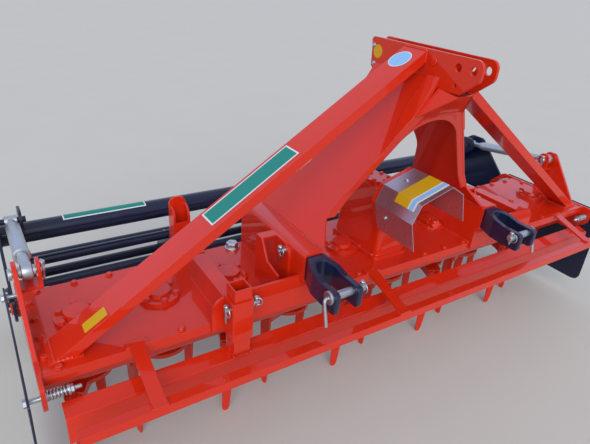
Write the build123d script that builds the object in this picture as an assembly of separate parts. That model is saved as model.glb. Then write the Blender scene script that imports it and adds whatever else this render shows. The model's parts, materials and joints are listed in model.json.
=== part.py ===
from build123d import *
import math
import os

# Power harrow with a cage roller, millimetres, +Z up, the tractor side toward -Y

# Rotors and tines
PITCH = 250.0
ROTOR_COUNT = 10
TINE_RADIUS = 128.0
TINE_TURN = 24.0
TINE_WIDTH = 42.0
TINE_THICK = 14.0
TIP_WIDTH = 17.0
TIP_THICK = 8.0
TINE_SINK = 20.0
BLADE_SHOULDER = 40.0
HOLDER_LOW = 318.0
HOLDER_R = 92.0
HOLDER_H = 34.0
DISH_RIM = 20.0
DISH_EDGE = 6.0
SOCKET_W = 62.0
SOCKET_D = 36.0
SOCKET_WING = 14.0
SOCKET_R = 10.0
NECK_R = 46.0
NECK_RISE = 4.0
TURN_GAP = 0.3

# Trough and cover
END_INSET = -7.0
COVER_TOP = 514.0
COVER_T = 10.0
FLANGE_T = 10.0
FRONT_Y = -212.0
REAR_Y = 200.0
LIP_T = 8.0
LIP_LOW = 480.0
BELLY_TOP_HALF = 152.0
BELLY_LOW_HALF = 128.0
BELLY_LOW = 374.0
BELLY_R = 30.0
WALL = 8.0
GEAR_GAP = 6.0
BEARING_R = 68.0
BEARING_H = 12.0
CAP_R = 42.0
CAP_H = 26.0
CAP_TAPER = 4.0
SEAT_GAP = 1.0

# End plates
END_T = 12.0
END_RISE = 4.0
END_FRONT = -262.0
END_FRONT_LOW = 436.0
END_CORNER_R = 36.0
EAR_REAR = 340.0
EAR_LOW = 352.0
LUG_HALF = 27.0
LUG_SPREAD = 14.0
LUG_RISE = 34.0
LUG_R = 24.0
LUG_FOOT = 180.0

# Headstock boxes that hold the hitch forks
BOX_X = 436.0
BOX_W = 80.0
BOX_TOP = 689.0
BOX_FRONT = -237.0
BOX_REAR = 196.0
BOX_WALL = 8.0
BOX_FLOOR = 586.0
BOX_R = 12.0
STAND_FRONT = -184.0
STAND_REAR = -36.0
STAND_TOP = 684.0
STAND_STEP_Y = -112.0
STAND_STEP_Z = 616.0
STAND_LIP_Z = 600.0
STAND_CREST = -72.0
STAND_W = 65.0
STAND_T = 8.0
STAND_EAR_FRONT = -158.0
STAND_EAR_R = 46.0
STAND_HOLE_D = 16.0
STAND_HOLE_Y = -128.0
STAND_HOLE_Z = 655.0

# Headstock legs and the arch between them
LEG_T = 8.0
LEG_FOOT_X = 402.0
LEG_HEAD_X = 47.0
LEG_HEAD_Z = 1205.0
LEG_REAR_FOOT = 180.0
LEG_REAR = 50.0
LEG_REAR_RISE = 250.0
LEG_REAR_R = 160.0
LEG_FLANGE = 40.0
LEG_LAP = 52.0
LEG_LAP_T = 5.0
LEG_LAP_DROP = 269.0
TOE_FRONT = -246.0
TOE_BACK = -133.0
TOE_IN = 4.0
KNEE_Y = -164.0
KNEE_Z = 760.0
SHIN_Y = -170.0
SHIN_Z = 822.0
BROW_Y = -252.0
BROW_DROP = 193.0
NOSE_Y = -336.0
NOSE_DROP = 116.0
SKIN_T = 8.0
ARCH_SPRING_DROP = 284.0
ARCH_CROWN_DROP = 214.0
NOSE_PLATE_T = 6.0

# Top link bracket
BRACKET_OUT = 37.0
BRACKET_T = 10.0
BRACKET_TOP = 1302.0
BRACKET_H = 110.0
BRACKET_REAR = 86.0
BRACKET_REAR_LEAN = 18.0
BRACKET_FRONT = -402.0
BRACKET_CHIN = 52.0
BRACKET_R = 26.0
TOP_PIN_Y = -372.0
TOP_PIN_DROP = 34.0
TOP_PIN_STEP = 58.0
TOP_BORE = 25.7
LATCH_BORE = 12.0
LATCH_Y = -315.0
LATCH_DROP = 86.0

# Stays
STAY_W = 102.0
STAY_H = 33.0
STAY_T = 4.0
STAY_Y = -130.0
STAY_FOOT_X = 1220.0
STAY_HEAD_DROP = 6.0
STAY_PAD_T = 8.0
STAY_PAD_EDGE = 14.0

# Lower hitch forks and pins
PIN_Y = -400.0
PIN_Z = 637.0
PIN_D = 28.0
FORK_GAP = 66.0
FORK_ARM = 20.0
FORK_NECK_W = 60.0
FORK_NOSE = 30.0
FORK_FLARE = 64.0
FORK_WEB = 30.0
FORK_ROOT = 70.0
FORK_LOBE = 50.0
FORK_BROW = 20.0
FORK_R = 14.0
FORK_SIDE_GAP = 1.0
PIN_HEAD_D = 44.0
PIN_HEAD_T = 8.0
PIN_TAIL = 26.0
PIN_GAP = 0.25

# Drive
GEARBOX_HALF = 84.0
GEARBOX_FRONT = -158.0
GEARBOX_REAR = 130.0
GEARBOX_TOP = 800.0
GEARBOX_FOOT_T = 16.0
GEARBOX_STEP = 9.0
GEARBOX_DRAFT = 12.0
GEARBOX_R = 22.0
GEARBOX_LID_T = 14.0
GEARBOX_LID_R = 52.0
REAR_COVER_R = 62.0
REAR_COVER_T = 14.0
REAR_COVER_Z = 650.0
SHAFT_Z = 742.0
SHAFT_D = 34.9
SHAFT_FRONT = -334.0
SHAFT_INSIDE = 60.0
SEAL_D = 44.0
FACE_T = 12.0
BOSS_R = 62.0
BOSS_T = 16.0

# Hood over the drive shaft
HOOD_T = 2.5
HOOD_HALF = 117.0
HOOD_LOW = 700.0
HOOD_SHOULDER = 814.0
HOOD_TOP = 866.0
HOOD_CROWN = 70.0
HOOD_FRONT = -346.0
HOOD_ROLL = 17.0

# Levelling bar with its post, sleeve and beams
BAR_HALF = 1225.0
BAR_T = 8.0
BAR_REAR = -237.0
BAR_TOP = 430.0
BAR_BEND_Y = -290.0
BAR_BEND_Z = 414.0
BAR_LOW = 326.0
BAR_R = 12.0
POST_X = -715.0
POST_S = 56.0
POST_T = 5.0
POST_TOP = 662.0
POST_GUSSET = 22.0
SLEEVE_T = 6.0
SLEEVE_GAP = 0.3
SLEEVE_LOW = 484.0
SLEEVE_TOP = 622.0
BEAM_OUT = 745.0
BEAM_W = 50.0
BEAM_TOP = 602.0
BEAM_T = 6.0
BEAM_REAR = 45.0
FRONT_PLATE_T = 10.0
FRONT_PLATE_INSET = 6.0
FRONT_PLATE_OUT = 786.0
FRONT_PLATE_TOP = 606.0
FRONT_PLATE_R = 50.0

# Front guard
GUARD_HALF = 1210.0
GUARD_S = 30.0
GUARD_T = 4.0
GUARD_REAR = -375.0
GUARD_TOP = 460.0
STRAP_W = 40.0
STRAP_T = 8.0
STRAP_FOOT = 20.0
STRAP_X = (-1010.0, -140.0, 1027.0)
PAD_W = 64.0

# Roller
DRUM_Y = 680.0
DRUM_R = 180.0
DRUM_BARS = 8
DRUM_DISCS = 5
DISC_T = 10.0
DISC_RIM = 4.0
BAR_D = 42.0
AXLE_D = 40.0
AXLE_TAIL = 8.0
DRUM_GAP = 57.0
ARM_GAP = 7.0
ARM_T = 10.0
ARM_HALF = 44.0
ARM_EASE = 4.0
PIVOT_Y = 290.0
PIVOT_Z = 400.0
PIVOT_D = 40.0
PIVOT_COLLAR = 11.0
PIVOT_TAIL = 6.0
FRAME_TUBE_D = 84.0
FRAME_TUBE_T = 6.0
FRAME_TUBE_Z = 480.0
HUB_R = 62.0
RUN = 0.5

# Links that set the roller's depth
EYE_Y = 510.0
EYE_Z = 620.0
EYE_R = 40.0
LINK_IN = 24.0
LINK_Y = 30.0
LINK_Z = 690.0
LINK_PIN = 22.0
LINK_EYE_R = 25.0
LINK_EYE_W = 44.0
LINK_ROD_D = 30.0
LINK_ROD_L = 260.0
BARREL_R = 23.0
BARREL_START = 122.0
BARREL_MOUTH = 8.0
BARREL_NECK = 84.0
BARREL_SHOULDER = 34.0
BARREL_NECK_R = 13.0
EYE_BOSS_R = 20.0
EYE_BOSS_W = 40.0
EYE_PLAY = 3.0
LINK_FLOOR = 640.0
CHEEK_T = 10.0
CHEEK_GAP = 6.0
PIN_END = 12.0

# Side deflectors
DEFLECTOR_GAP = 27.0
DEFLECTOR_T = 6.0
DEFLECTOR_FRONT = -300.0
DEFLECTOR_BACK = 160.0
DEFLECTOR_LOW = 100.0
DEFLECTOR_R = 46.0
DEFLECTOR_TAB = 258.0
DEFLECTOR_TOP = 512.0
BOLT_D = 16.0
BOLT_REACH = 110.0
BOLT_HEAD = 10.0
SPRING_D = 32.0
SPRING_L = 60.0
BOLT_PLACES = ((-237.0, 468.0), (232.0, 488.0))

# Brackets behind the cover
HOOK_X = 714.0
HOOK_W = 62.0
HOOK_T = 8.0
HOOK_TOP = 735.0
HOOK_BACK = 50.0
HOOK_SILL = 650.0
HOOK_R = 27.0
HOOK_BROW_R = 42.0

# Sizes that follow from the ones above
TROUGH_HALF = PITCH * ROTOR_COUNT / 2 - END_INSET
COVER_LOW = COVER_TOP - COVER_T
HOLDER_TOP = HOLDER_LOW + HOLDER_H
TINE_TOP = HOLDER_LOW + TINE_SINK
END_OUT = TROUGH_HALF + END_T
DEFLECTOR_IN = END_OUT + DEFLECTOR_GAP
ARM_IN = END_OUT + ARM_GAP
DRUM_HALF = END_OUT - DRUM_GAP
DRUM_Z = DRUM_R
LINK_X = TROUGH_HALF - LINK_IN
CHEEK_IN = LINK_X - LINK_IN
TOP_PIN_Z = BRACKET_TOP - TOP_PIN_DROP
BRACKET_LOW = BRACKET_TOP - BRACKET_H
LEG_LAP_Z = BRACKET_TOP - LEG_LAP_DROP
BROW_Z = BRACKET_TOP - BROW_DROP
NOSE_Z = BRACKET_TOP - NOSE_DROP
ARCH_SPRING = BRACKET_TOP - ARCH_SPRING_DROP
ARCH_CROWN = BRACKET_TOP - ARCH_CROWN_DROP
SKIN_LINE = ((KNEE_Y, KNEE_Z), (SHIN_Y, SHIN_Z), (BROW_Y, BROW_Z), (NOSE_Y, NOSE_Z))
POST_Y = FRONT_Y - FRONT_PLATE_T - POST_S / 2 - SLEEVE_GAP - SLEEVE_T
FORK_OUT = FORK_GAP / 2 + FORK_ARM
CENTRE_Y = (PIN_Y - FORK_NOSE + DRUM_Y + DRUM_R) / 2

# Turn and handing of a rotor, for even and odd places in the row
PHASE = ((-TINE_TURN, 1), (TINE_TURN - 90, -1))


def rotor_x(index):
    """Axis position of a rotor, counted from the left end."""
    return (index - (ROTOR_COUNT - 1) / 2) * PITCH


def flat(points):
    """Face with these corners, where a third number rounds that corner."""
    face = make_face(Polyline(*[(p[0], p[1]) for p in points], close=True))
    for corner in points:
        if len(corner) == 3:
            nearest = face.vertices().sort_by_distance((corner[0], corner[1], 0))[0]
            face = fillet(nearest, corner[2])
    return face


def prism_x(points, x0, x1):
    """Outline in (y, z) drawn out from x0 to x1."""
    return extrude(Pos(x0, 0, 0) * (Plane.YZ * flat(points)), amount=x1 - x0, dir=(1, 0, 0))


def prism_y(points, y0, y1):
    """Outline in (x, z) drawn out from y0 to y1."""
    return extrude(Pos(0, y0, 0) * (Plane.XZ * flat(points)), amount=y1 - y0, dir=(0, 1, 0))


def prism_z(points, z0, z1):
    """Outline in (x, y) drawn out from z0 to z1."""
    return extrude(Pos(0, 0, z0) * flat(points), amount=z1 - z0, dir=(0, 0, 1))


def block(x0, x1, y0, y1, z0, z1):
    """Box between two corners."""
    size = (abs(x1 - x0), abs(y1 - y0), abs(z1 - z0))
    return Pos((x0 + x1) / 2, (y0 + y1) / 2, (z0 + z1) / 2) * Box(*size)


def rod_x(y, z, diameter, x0, x1):
    """Round bar along X."""
    return Pos((x0 + x1) / 2, y, z) * Rot(0, 90, 0) * Cylinder(diameter / 2, abs(x1 - x0))


def rod_y(x, z, diameter, y0, y1):
    """Round bar along Y."""
    return Pos(x, (y0 + y1) / 2, z) * Rot(90, 0, 0) * Cylinder(diameter / 2, abs(y1 - y0))


def turned(profile):
    """Solid turned about Z from (radius, height) corners."""
    return revolve(Plane.XZ * flat(profile), axis=Axis.Z)


def along(start, end):
    """Plane at one point whose Z runs toward the other."""
    a, b = Vector(*start), Vector(*end)
    return Plane(origin=a, z_dir=(b - a))


def mirrored(shape):
    """The same piece on the other side."""
    return mirror(shape, about=Plane.YZ)


def handed(shape, side):
    """A piece modelled on the right, put on the side asked for."""
    return shape if side > 0 else mirrored(shape)


# Trough with its belly, open above, under the cover
def make_trough():
    step = LIP_T
    under = COVER_LOW - FLANGE_T
    outer = [
        (FRONT_Y, COVER_LOW), (FRONT_Y, LIP_LOW), (FRONT_Y + step, LIP_LOW), (FRONT_Y + step, under),
        (-BELLY_TOP_HALF, under), (-BELLY_LOW_HALF, BELLY_LOW, BELLY_R),
        (BELLY_LOW_HALF, BELLY_LOW, BELLY_R), (BELLY_TOP_HALF, under),
        (REAR_Y - step, under), (REAR_Y - step, LIP_LOW), (REAR_Y, LIP_LOW), (REAR_Y, COVER_LOW),
    ]
    floor = BELLY_LOW + WALL
    inner = [
        (-BELLY_TOP_HALF + WALL, COVER_LOW), (-BELLY_LOW_HALF + WALL, floor, BELLY_R - WALL),
        (BELLY_LOW_HALF - WALL, floor, BELLY_R - WALL), (BELLY_TOP_HALF - WALL, COVER_LOW),
    ]
    body = prism_x(outer, -TROUGH_HALF, TROUGH_HALF)
    return body - prism_x(inner, -TROUGH_HALF + WALL, TROUGH_HALF - WALL)


# Row of gears as one plain block, standing on the trough's floor
def make_gear_row():
    reach = TROUGH_HALF - WALL - GEAR_GAP
    half = BELLY_LOW_HALF - BELLY_R - GEAR_GAP
    return block(-reach, reach, -half, half, BELLY_LOW + WALL, COVER_LOW - GEAR_GAP)


# Cover plate with a turned bearing housing over every rotor
def make_cover():
    plate = block(-TROUGH_HALF, TROUGH_HALF, FRONT_Y, REAR_Y, COVER_LOW, COVER_TOP)
    housing = turned([
        (0, -COVER_T / 2), (BEARING_R, -COVER_T / 2), (BEARING_R, BEARING_H), (CAP_R, BEARING_H),
        (CAP_R - CAP_TAPER, CAP_H), (0, CAP_H),
    ])
    for index in range(ROTOR_COUNT):
        plate += Pos(rotor_x(index), 0, COVER_TOP) * housing
    above = COVER_TOP + CAP_H + SEAT_GAP
    reach = BOX_W / 2 + SEAT_GAP
    for x in (-BOX_X, BOX_X):
        plate -= block(x - reach, x + reach, BOX_FRONT, BOX_REAR, COVER_TOP, above)
    half = GEARBOX_HALF + SEAT_GAP
    return plate - block(-half, half, GEARBOX_FRONT - FACE_T, GEARBOX_REAR + SEAT_GAP, COVER_TOP, above)


# Rotor head: neck, dished holder and two winged sockets
def make_rotor(index, phase):
    head = turned([
        (0, HOLDER_LOW), (HOLDER_R - DISH_EDGE, HOLDER_LOW), (HOLDER_R, HOLDER_LOW + DISH_EDGE),
        (HOLDER_R, HOLDER_LOW + DISH_RIM), (NECK_R, HOLDER_TOP + NECK_RISE),
        (NECK_R, BELLY_LOW - TURN_GAP), (0, BELLY_LOW - TURN_GAP),
    ])
    end = TINE_RADIUS + SOCKET_D / 2
    wing = SOCKET_W / 2 + SOCKET_WING
    lobe = prism_z([
        (-wing, 0), (wing, 0), (SOCKET_W / 2, TINE_RADIUS - SOCKET_D / 2),
        (SOCKET_W / 2, end, SOCKET_R), (-SOCKET_W / 2, end, SOCKET_R), (-SOCKET_W / 2, TINE_RADIUS - SOCKET_D / 2),
    ], HOLDER_LOW, HOLDER_TOP)
    half, thick = TINE_WIDTH / 2, TINE_THICK / 2
    lobe -= block(-half, half, TINE_RADIUS - thick, TINE_RADIUS + thick, HOLDER_LOW - 1, TINE_TOP)
    head += lobe
    head += Rot(0, 0, 180) * lobe
    return Pos(rotor_x(index), 0, 0) * Rot(0, 0, phase) * head


# Pair of forged tines of one rotor, straight on one edge, thinner and narrower toward the tip
def make_tines(index, phase, lead):
    shoulder = HOLDER_LOW - BLADE_SHOULDER
    half, thick, tip = TINE_WIDTH / 2, TINE_THICK / 2, TIP_THICK / 2
    front = [
        (-lead * half, shoulder), (-lead * half, TINE_TOP), (lead * half, TINE_TOP),
        (lead * half, 0), (lead * (half - TIP_WIDTH), 0),
    ]
    view = [(-thick, TINE_TOP), (thick, TINE_TOP), (thick, shoulder), (tip, 0), (-tip, 0), (-thick, shoulder)]
    blade = prism_y(front, -TINE_THICK, TINE_THICK) & prism_x(view, -TINE_WIDTH, TINE_WIDTH)
    blade = Pos(0, TINE_RADIUS, 0) * blade
    place = Pos(rotor_x(index), 0, 0) * Rot(0, 0, phase)
    return Compound([place * blade, place * Rot(0, 0, 180) * blade])


# End plate with a front corner, a rear ear for the roller's arm and a lug for the link
def make_end_plate(side):
    top = COVER_TOP + END_RISE
    spread = LUG_HALF + LUG_SPREAD
    belly = BELLY_LOW + END_RISE
    outline = [
        (END_FRONT, top, END_CORNER_R / 2), (END_FRONT, END_FRONT_LOW, END_CORNER_R),
        (-BELLY_TOP_HALF, belly), (BELLY_TOP_HALF, belly, END_CORNER_R),
        (PIVOT_Y - ARM_HALF, EAR_LOW), (EAR_REAR, EAR_LOW, END_CORNER_R), (EAR_REAR, PIVOT_Z + ARM_HALF, END_CORNER_R),
        (PIVOT_Y - ARM_HALF / 2, top, END_CORNER_R), (LINK_Y + spread, top),
        (LINK_Y + LUG_HALF, LINK_Z + LUG_RISE, LUG_R), (LINK_Y - LUG_HALF, LINK_Z + LUG_RISE, LUG_R),
        (LINK_Y - LUG_FOOT, top),
    ]
    plate = prism_x(outline, TROUGH_HALF, END_OUT)
    plate -= rod_x(LINK_Y, LINK_Z, LINK_PIN + RUN, TROUGH_HALF - 1, END_OUT + 1)
    for y, z in BOLT_PLACES:
        plate -= rod_x(y, z, BOLT_D, TROUGH_HALF - 1, END_OUT + 1)
    plate += rod_x(PIVOT_Y, PIVOT_Z, PIVOT_D, END_OUT - 1, ARM_IN + ARM_T + PIVOT_TAIL)
    plate += rod_x(PIVOT_Y, PIVOT_Z, PIVOT_D + 2 * PIVOT_COLLAR, END_OUT - 1, ARM_IN - RUN)
    return handed(plate, side)


# Deflector plate with its two sprung bolts
def make_deflector(side):
    shoulder = DEFLECTOR_TOP - DEFLECTOR_R
    outline = [
        (DEFLECTOR_FRONT, DEFLECTOR_TOP, DEFLECTOR_R / 2), (DEFLECTOR_FRONT, DEFLECTOR_LOW, DEFLECTOR_R),
        (DEFLECTOR_BACK, DEFLECTOR_LOW, DEFLECTOR_R), (DEFLECTOR_BACK, shoulder),
        (DEFLECTOR_TAB, shoulder), (DEFLECTOR_TAB, DEFLECTOR_TOP),
    ]
    plate = prism_x(outline, DEFLECTOR_IN, DEFLECTOR_IN + DEFLECTOR_T)
    for y, z in BOLT_PLACES:
        plate += rod_x(y, z, BOLT_D, TROUGH_HALF - BOLT_REACH, DEFLECTOR_IN + DEFLECTOR_T + BOLT_HEAD)
        plate += rod_x(y, z, SPRING_D, TROUGH_HALF - SPRING_L, TROUGH_HALF)
    return handed(plate, side)


# Bent inner cheek of the link's clevis, with its floor welded to the end plate
def make_link_bracket(side):
    top = LINK_Z + LUG_RISE
    cheek = [
        (LINK_Y - LUG_HALF, LINK_FLOOR), (LINK_Y + LUG_HALF, LINK_FLOOR),
        (LINK_Y + LUG_HALF, top, LUG_R), (LINK_Y - LUG_HALF, top, LUG_R),
    ]
    piece = prism_x(cheek, CHEEK_IN - CHEEK_T, CHEEK_IN)
    piece += block(CHEEK_IN - 1, TROUGH_HALF, LINK_Y - LUG_HALF, LINK_Y + LUG_HALF, LINK_FLOOR, LINK_FLOOR + CHEEK_T)
    piece -= rod_x(LINK_Y, LINK_Z, LINK_PIN + RUN, CHEEK_IN - CHEEK_T - 1, CHEEK_IN + 1)
    return handed(piece, side)


# Link's inner rod, with its eye and the pin through the clevis
def make_link_fork(side):
    start, end = (LINK_X, LINK_Y, LINK_Z), (LINK_X, EYE_Y, EYE_Z)
    rod = along(start, end) * turned([(0, 0), (LINK_ROD_D / 2, 0), (LINK_ROD_D / 2, LINK_ROD_L), (0, LINK_ROD_L)])
    piece = rod + rod_x(LINK_Y, LINK_Z, 2 * LINK_EYE_R, LINK_X - LINK_EYE_W / 2, LINK_X + LINK_EYE_W / 2)
    piece += rod_x(LINK_Y, LINK_Z, LINK_PIN, CHEEK_IN - CHEEK_T - PIN_END, END_OUT + PIN_END)
    return handed(piece, side)


# Link's barrel, tapered to a neck and an eye at the roller's end
def make_link_barrel(side):
    start, end = (LINK_X, LINK_Y, LINK_Z), (LINK_X, EYE_Y, EYE_Z)
    length = math.dist(start, end)
    bore = LINK_ROD_D / 2 + RUN
    profile = [
        (bore, BARREL_START), (BARREL_R - BARREL_MOUTH / 2, BARREL_START), (BARREL_R, BARREL_START + BARREL_MOUTH),
        (BARREL_R, length - BARREL_NECK), (BARREL_NECK_R, length - BARREL_NECK + BARREL_SHOULDER),
        (BARREL_NECK_R, length), (0, length), (0, length - BARREL_NECK), (bore, length - BARREL_NECK),
    ]
    piece = along(start, end) * turned(profile)
    piece += rod_x(EYE_Y, EYE_Z, 2 * EYE_BOSS_R, LINK_X - EYE_BOSS_W / 2, LINK_X + EYE_BOSS_W / 2)
    piece -= rod_x(EYE_Y, EYE_Z, LINK_PIN + 2 * EYE_PLAY, LINK_X - EYE_BOSS_W, LINK_X + EYE_BOSS_W)
    return handed(piece, side)


# Roller frame: two outer arms, a cross tube and the clevis cheeks that stand on it
def make_roller_frame():
    arm = [
        (PIVOT_Y - ARM_HALF, PIVOT_Z - ARM_HALF, ARM_HALF - ARM_EASE), (PIVOT_Y - ARM_HALF, PIVOT_Z + ARM_HALF, ARM_HALF - ARM_EASE),
        (EYE_Y - EYE_R, EYE_Z + EYE_R, EYE_R - ARM_EASE), (EYE_Y + EYE_R, EYE_Z + EYE_R, EYE_R - ARM_EASE),
        (DRUM_Y + HUB_R, FRAME_TUBE_Z + FRAME_TUBE_D / 2, HUB_R / 2), (DRUM_Y + HUB_R, DRUM_Z - HUB_R, HUB_R - ARM_EASE),
        (DRUM_Y - HUB_R, DRUM_Z - HUB_R, HUB_R - ARM_EASE), (DRUM_Y - HUB_R - ARM_HALF, PIVOT_Z - ARM_HALF, HUB_R),
    ]
    plate = prism_x(arm, ARM_IN, ARM_IN + ARM_T)
    plate -= rod_x(PIVOT_Y, PIVOT_Z, PIVOT_D + 2 * RUN, ARM_IN - 1, ARM_IN + ARM_T + 1)
    plate -= rod_x(DRUM_Y, DRUM_Z, AXLE_D + 2 * RUN, ARM_IN - 1, ARM_IN + ARM_T + 1)
    inner = LINK_X - EYE_BOSS_W / 2 - CHEEK_GAP
    foot = FRAME_TUBE_D / 2 - FRAME_TUBE_T
    cheek = prism_x([
        (EYE_Y - EYE_R, EYE_Z - EYE_R / 2), (EYE_Y - EYE_R, EYE_Z + EYE_R, EYE_R - ARM_EASE), (EYE_Y + EYE_R, EYE_Z + EYE_R, EYE_R - ARM_EASE),
        (DRUM_Y + foot, FRAME_TUBE_Z), (DRUM_Y - foot, FRAME_TUBE_Z - foot / 2),
    ], inner - CHEEK_T, inner)
    pin = rod_x(EYE_Y, EYE_Z, LINK_PIN, inner - CHEEK_T - PIN_END, ARM_IN + ARM_T + PIN_END)
    bore = rod_x(DRUM_Y, FRAME_TUBE_Z, FRAME_TUBE_D - 2 * FRAME_TUBE_T, -ARM_IN, ARM_IN)
    half = plate + (cheek - bore) + pin
    tube = rod_x(DRUM_Y, FRAME_TUBE_Z, FRAME_TUBE_D, -ARM_IN, ARM_IN) - bore
    return half + mirrored(half) + tube


# Cage roller: round bars through discs on one shaft
def make_drum():
    axle = ARM_IN + ARM_T + AXLE_TAIL
    drum = rod_x(DRUM_Y, DRUM_Z, AXLE_D, -axle, axle)
    reach = DRUM_R - BAR_D / 2
    for index in range(DRUM_DISCS):
        x = DRUM_HALF * (2 * index / (DRUM_DISCS - 1) - 1)
        drum += rod_x(DRUM_Y, DRUM_Z, 2 * (reach + DISC_RIM), x - DISC_T / 2, x + DISC_T / 2)
    for index in range(DRUM_BARS):
        angle = math.radians(270 + index * 360 / DRUM_BARS)
        y = DRUM_Y + reach * math.cos(angle)
        z = DRUM_Z + reach * math.sin(angle)
        drum += rod_x(y, z, BAR_D, -DRUM_HALF - DISC_T / 2, DRUM_HALF + DISC_T / 2)
    return drum


# Inner outline of the hood, also the edge of the gearbox's face plate
HOOD_CORNERS = (
    (-HOOD_HALF, HOOD_LOW), (-HOOD_HALF, HOOD_SHOULDER), (-HOOD_CROWN, HOOD_TOP),
    (HOOD_CROWN, HOOD_TOP), (HOOD_HALF, HOOD_SHOULDER), (HOOD_HALF, HOOD_LOW),
)


def rolled(shape):
    """The shape turned about the drive shaft, its right side raised."""
    return Pos(0, 0, SHAFT_Z) * Rot(0, -HOOD_ROLL, 0) * Pos(0, 0, -SHAFT_Z) * shape


# Gearbox: foot, drafted body, lid, rear cover and the face plate that holds the hood
def make_gearbox():
    foot_top = COVER_TOP + GEARBOX_FOOT_T
    y_mid = (GEARBOX_FRONT + GEARBOX_REAR) / 2
    depth = GEARBOX_REAR - GEARBOX_FRONT
    roof = GEARBOX_TOP - GEARBOX_LID_T
    wide, deep = GEARBOX_HALF - GEARBOX_STEP, depth / 2 - GEARBOX_STEP
    front = [(-wide, foot_top), (wide, foot_top), (wide - GEARBOX_DRAFT, roof), (GEARBOX_DRAFT - wide, roof)]
    view = [(-deep, foot_top), (deep, foot_top), (deep - GEARBOX_DRAFT, roof), (GEARBOX_DRAFT - deep, roof)]
    body = prism_y(front, -depth, depth) & prism_x(view, -2 * GEARBOX_HALF, 2 * GEARBOX_HALF)
    body = fillet([e for e in body.edges() if e.bounding_box().size.Z > GEARBOX_R], GEARBOX_R)
    body = Pos(0, y_mid, 0) * body
    body += Pos(0, y_mid, COVER_TOP) * extrude(RectangleRounded(2 * GEARBOX_HALF, depth, GEARBOX_R), amount=GEARBOX_FOOT_T)
    body += Pos(0, y_mid, GEARBOX_TOP - GEARBOX_LID_T) * turned([
        (0, 0), (GEARBOX_LID_R, 0), (GEARBOX_LID_R, GEARBOX_LID_T), (0, GEARBOX_LID_T)])
    inside = GEARBOX_REAR - GEARBOX_STEP - 2 * GEARBOX_DRAFT
    body += rod_y(0, REAR_COVER_Z, 2 * REAR_COVER_R, inside, GEARBOX_REAR + REAR_COVER_T)
    body += rolled(prism_y(HOOD_CORNERS, GEARBOX_FRONT - FACE_T, GEARBOX_FRONT + GEARBOX_STEP + GEARBOX_DRAFT))
    body += rod_y(0, SHAFT_Z, 2 * BOSS_R, GEARBOX_FRONT - FACE_T - BOSS_T, GEARBOX_FRONT)
    seat = GEARBOX_FRONT - FACE_T - BOSS_T
    return body - rod_y(0, SHAFT_Z, SEAL_D + 2 * RUN, seat - 1, seat + SHAFT_INSIDE)


# Input shaft: a stub in front of the gearbox and its seal's journal
def make_input_shaft():
    seat = GEARBOX_FRONT - FACE_T - BOSS_T
    stub = rod_y(0, SHAFT_Z, SHAFT_D, SHAFT_FRONT, seat)
    return stub + rod_y(0, SHAFT_Z, SEAL_D, seat, seat + SHAFT_INSIDE)


# Folded guard round the drive shaft
def make_hood():
    inner = flat(HOOD_CORNERS)
    outer = offset(inner, amount=HOOD_T, kind=Kind.INTERSECTION)
    sheet = Plane.XZ * (outer - inner)
    hood = extrude(Pos(0, HOOD_FRONT, 0) * sheet, amount=GEARBOX_FRONT - HOOD_FRONT, dir=(0, 1, 0))
    reach = HOOD_HALF + 2 * HOOD_T
    return rolled(hood - block(-reach, reach, HOOD_FRONT - 1, GEARBOX_FRONT + 1, HOOD_LOW - 2 * HOOD_T, HOOD_LOW))


# Folded box that carries a lower hitch fork, with the stand's bracket on its outer side
def make_hitch_box(side):
    x0, x1 = BOX_X - BOX_W / 2, BOX_X + BOX_W / 2
    box = prism_y([(x0, COVER_TOP), (x0, BOX_TOP, BOX_R), (x1, BOX_TOP, BOX_R), (x1, COVER_TOP)], BOX_FRONT, BOX_REAR)
    roof = BOX_TOP - BOX_WALL
    box -= prism_y([
        (x0 + BOX_WALL, COVER_TOP - 1), (x0 + BOX_WALL, roof, BOX_R - BOX_WALL),
        (x1 - BOX_WALL, roof, BOX_R - BOX_WALL), (x1 - BOX_WALL, COVER_TOP - 1),
    ], BOX_FRONT - 1, BOX_REAR + 1)
    box += block(x0 + BOX_WALL - 1, x1 - BOX_WALL + 1, BOX_FRONT, BOX_REAR, BOX_FLOOR, BOX_FLOOR + BOX_WALL)
    box -= block(x0 - 1, x1 + 1, BOX_FRONT - 1, FRONT_Y, COVER_TOP - 1, BOX_FLOOR)
    ear = [
        (STAND_EAR_FRONT, COVER_TOP), (STAND_EAR_FRONT, STAND_TOP, STAND_EAR_R), (STAND_REAR, STAND_TOP),
        (STAND_REAR, COVER_TOP),
    ]
    stand = [
        (STAND_FRONT, COVER_TOP), (STAND_FRONT, STAND_LIP_Z), (STAND_STEP_Y, STAND_STEP_Z, STAND_T),
        (STAND_CREST, STAND_TOP), (STAND_REAR, STAND_TOP), (STAND_REAR, COVER_TOP),
    ]
    far = x1 + STAND_W
    box += prism_x(ear, x1 - 1, x1 + STAND_T)
    box += prism_x(stand, far - STAND_T, far)
    box += block(x1 - 1, far, STAND_CREST, STAND_REAR, STAND_TOP - STAND_T, STAND_TOP)
    return handed(box - rod_x(STAND_HOLE_Y, STAND_HOLE_Z, STAND_HOLE_D, x1 - BOX_WALL - 1, x1 + STAND_T + 1), side)


# Outer surface of a leg at a height
def leg_x(z):
    return LEG_FOOT_X - (z - BOX_TOP) * (LEG_FOOT_X - LEG_HEAD_X) / (LEG_HEAD_Z - BOX_TOP)


# Slab that follows the headstock's front line, from the knee to the nose
def front_skin(half):
    back = [(y + SKIN_T, z) for y, z in reversed(SKIN_LINE)]
    return prism_x([*SKIN_LINE, *back], -half, half)


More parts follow.
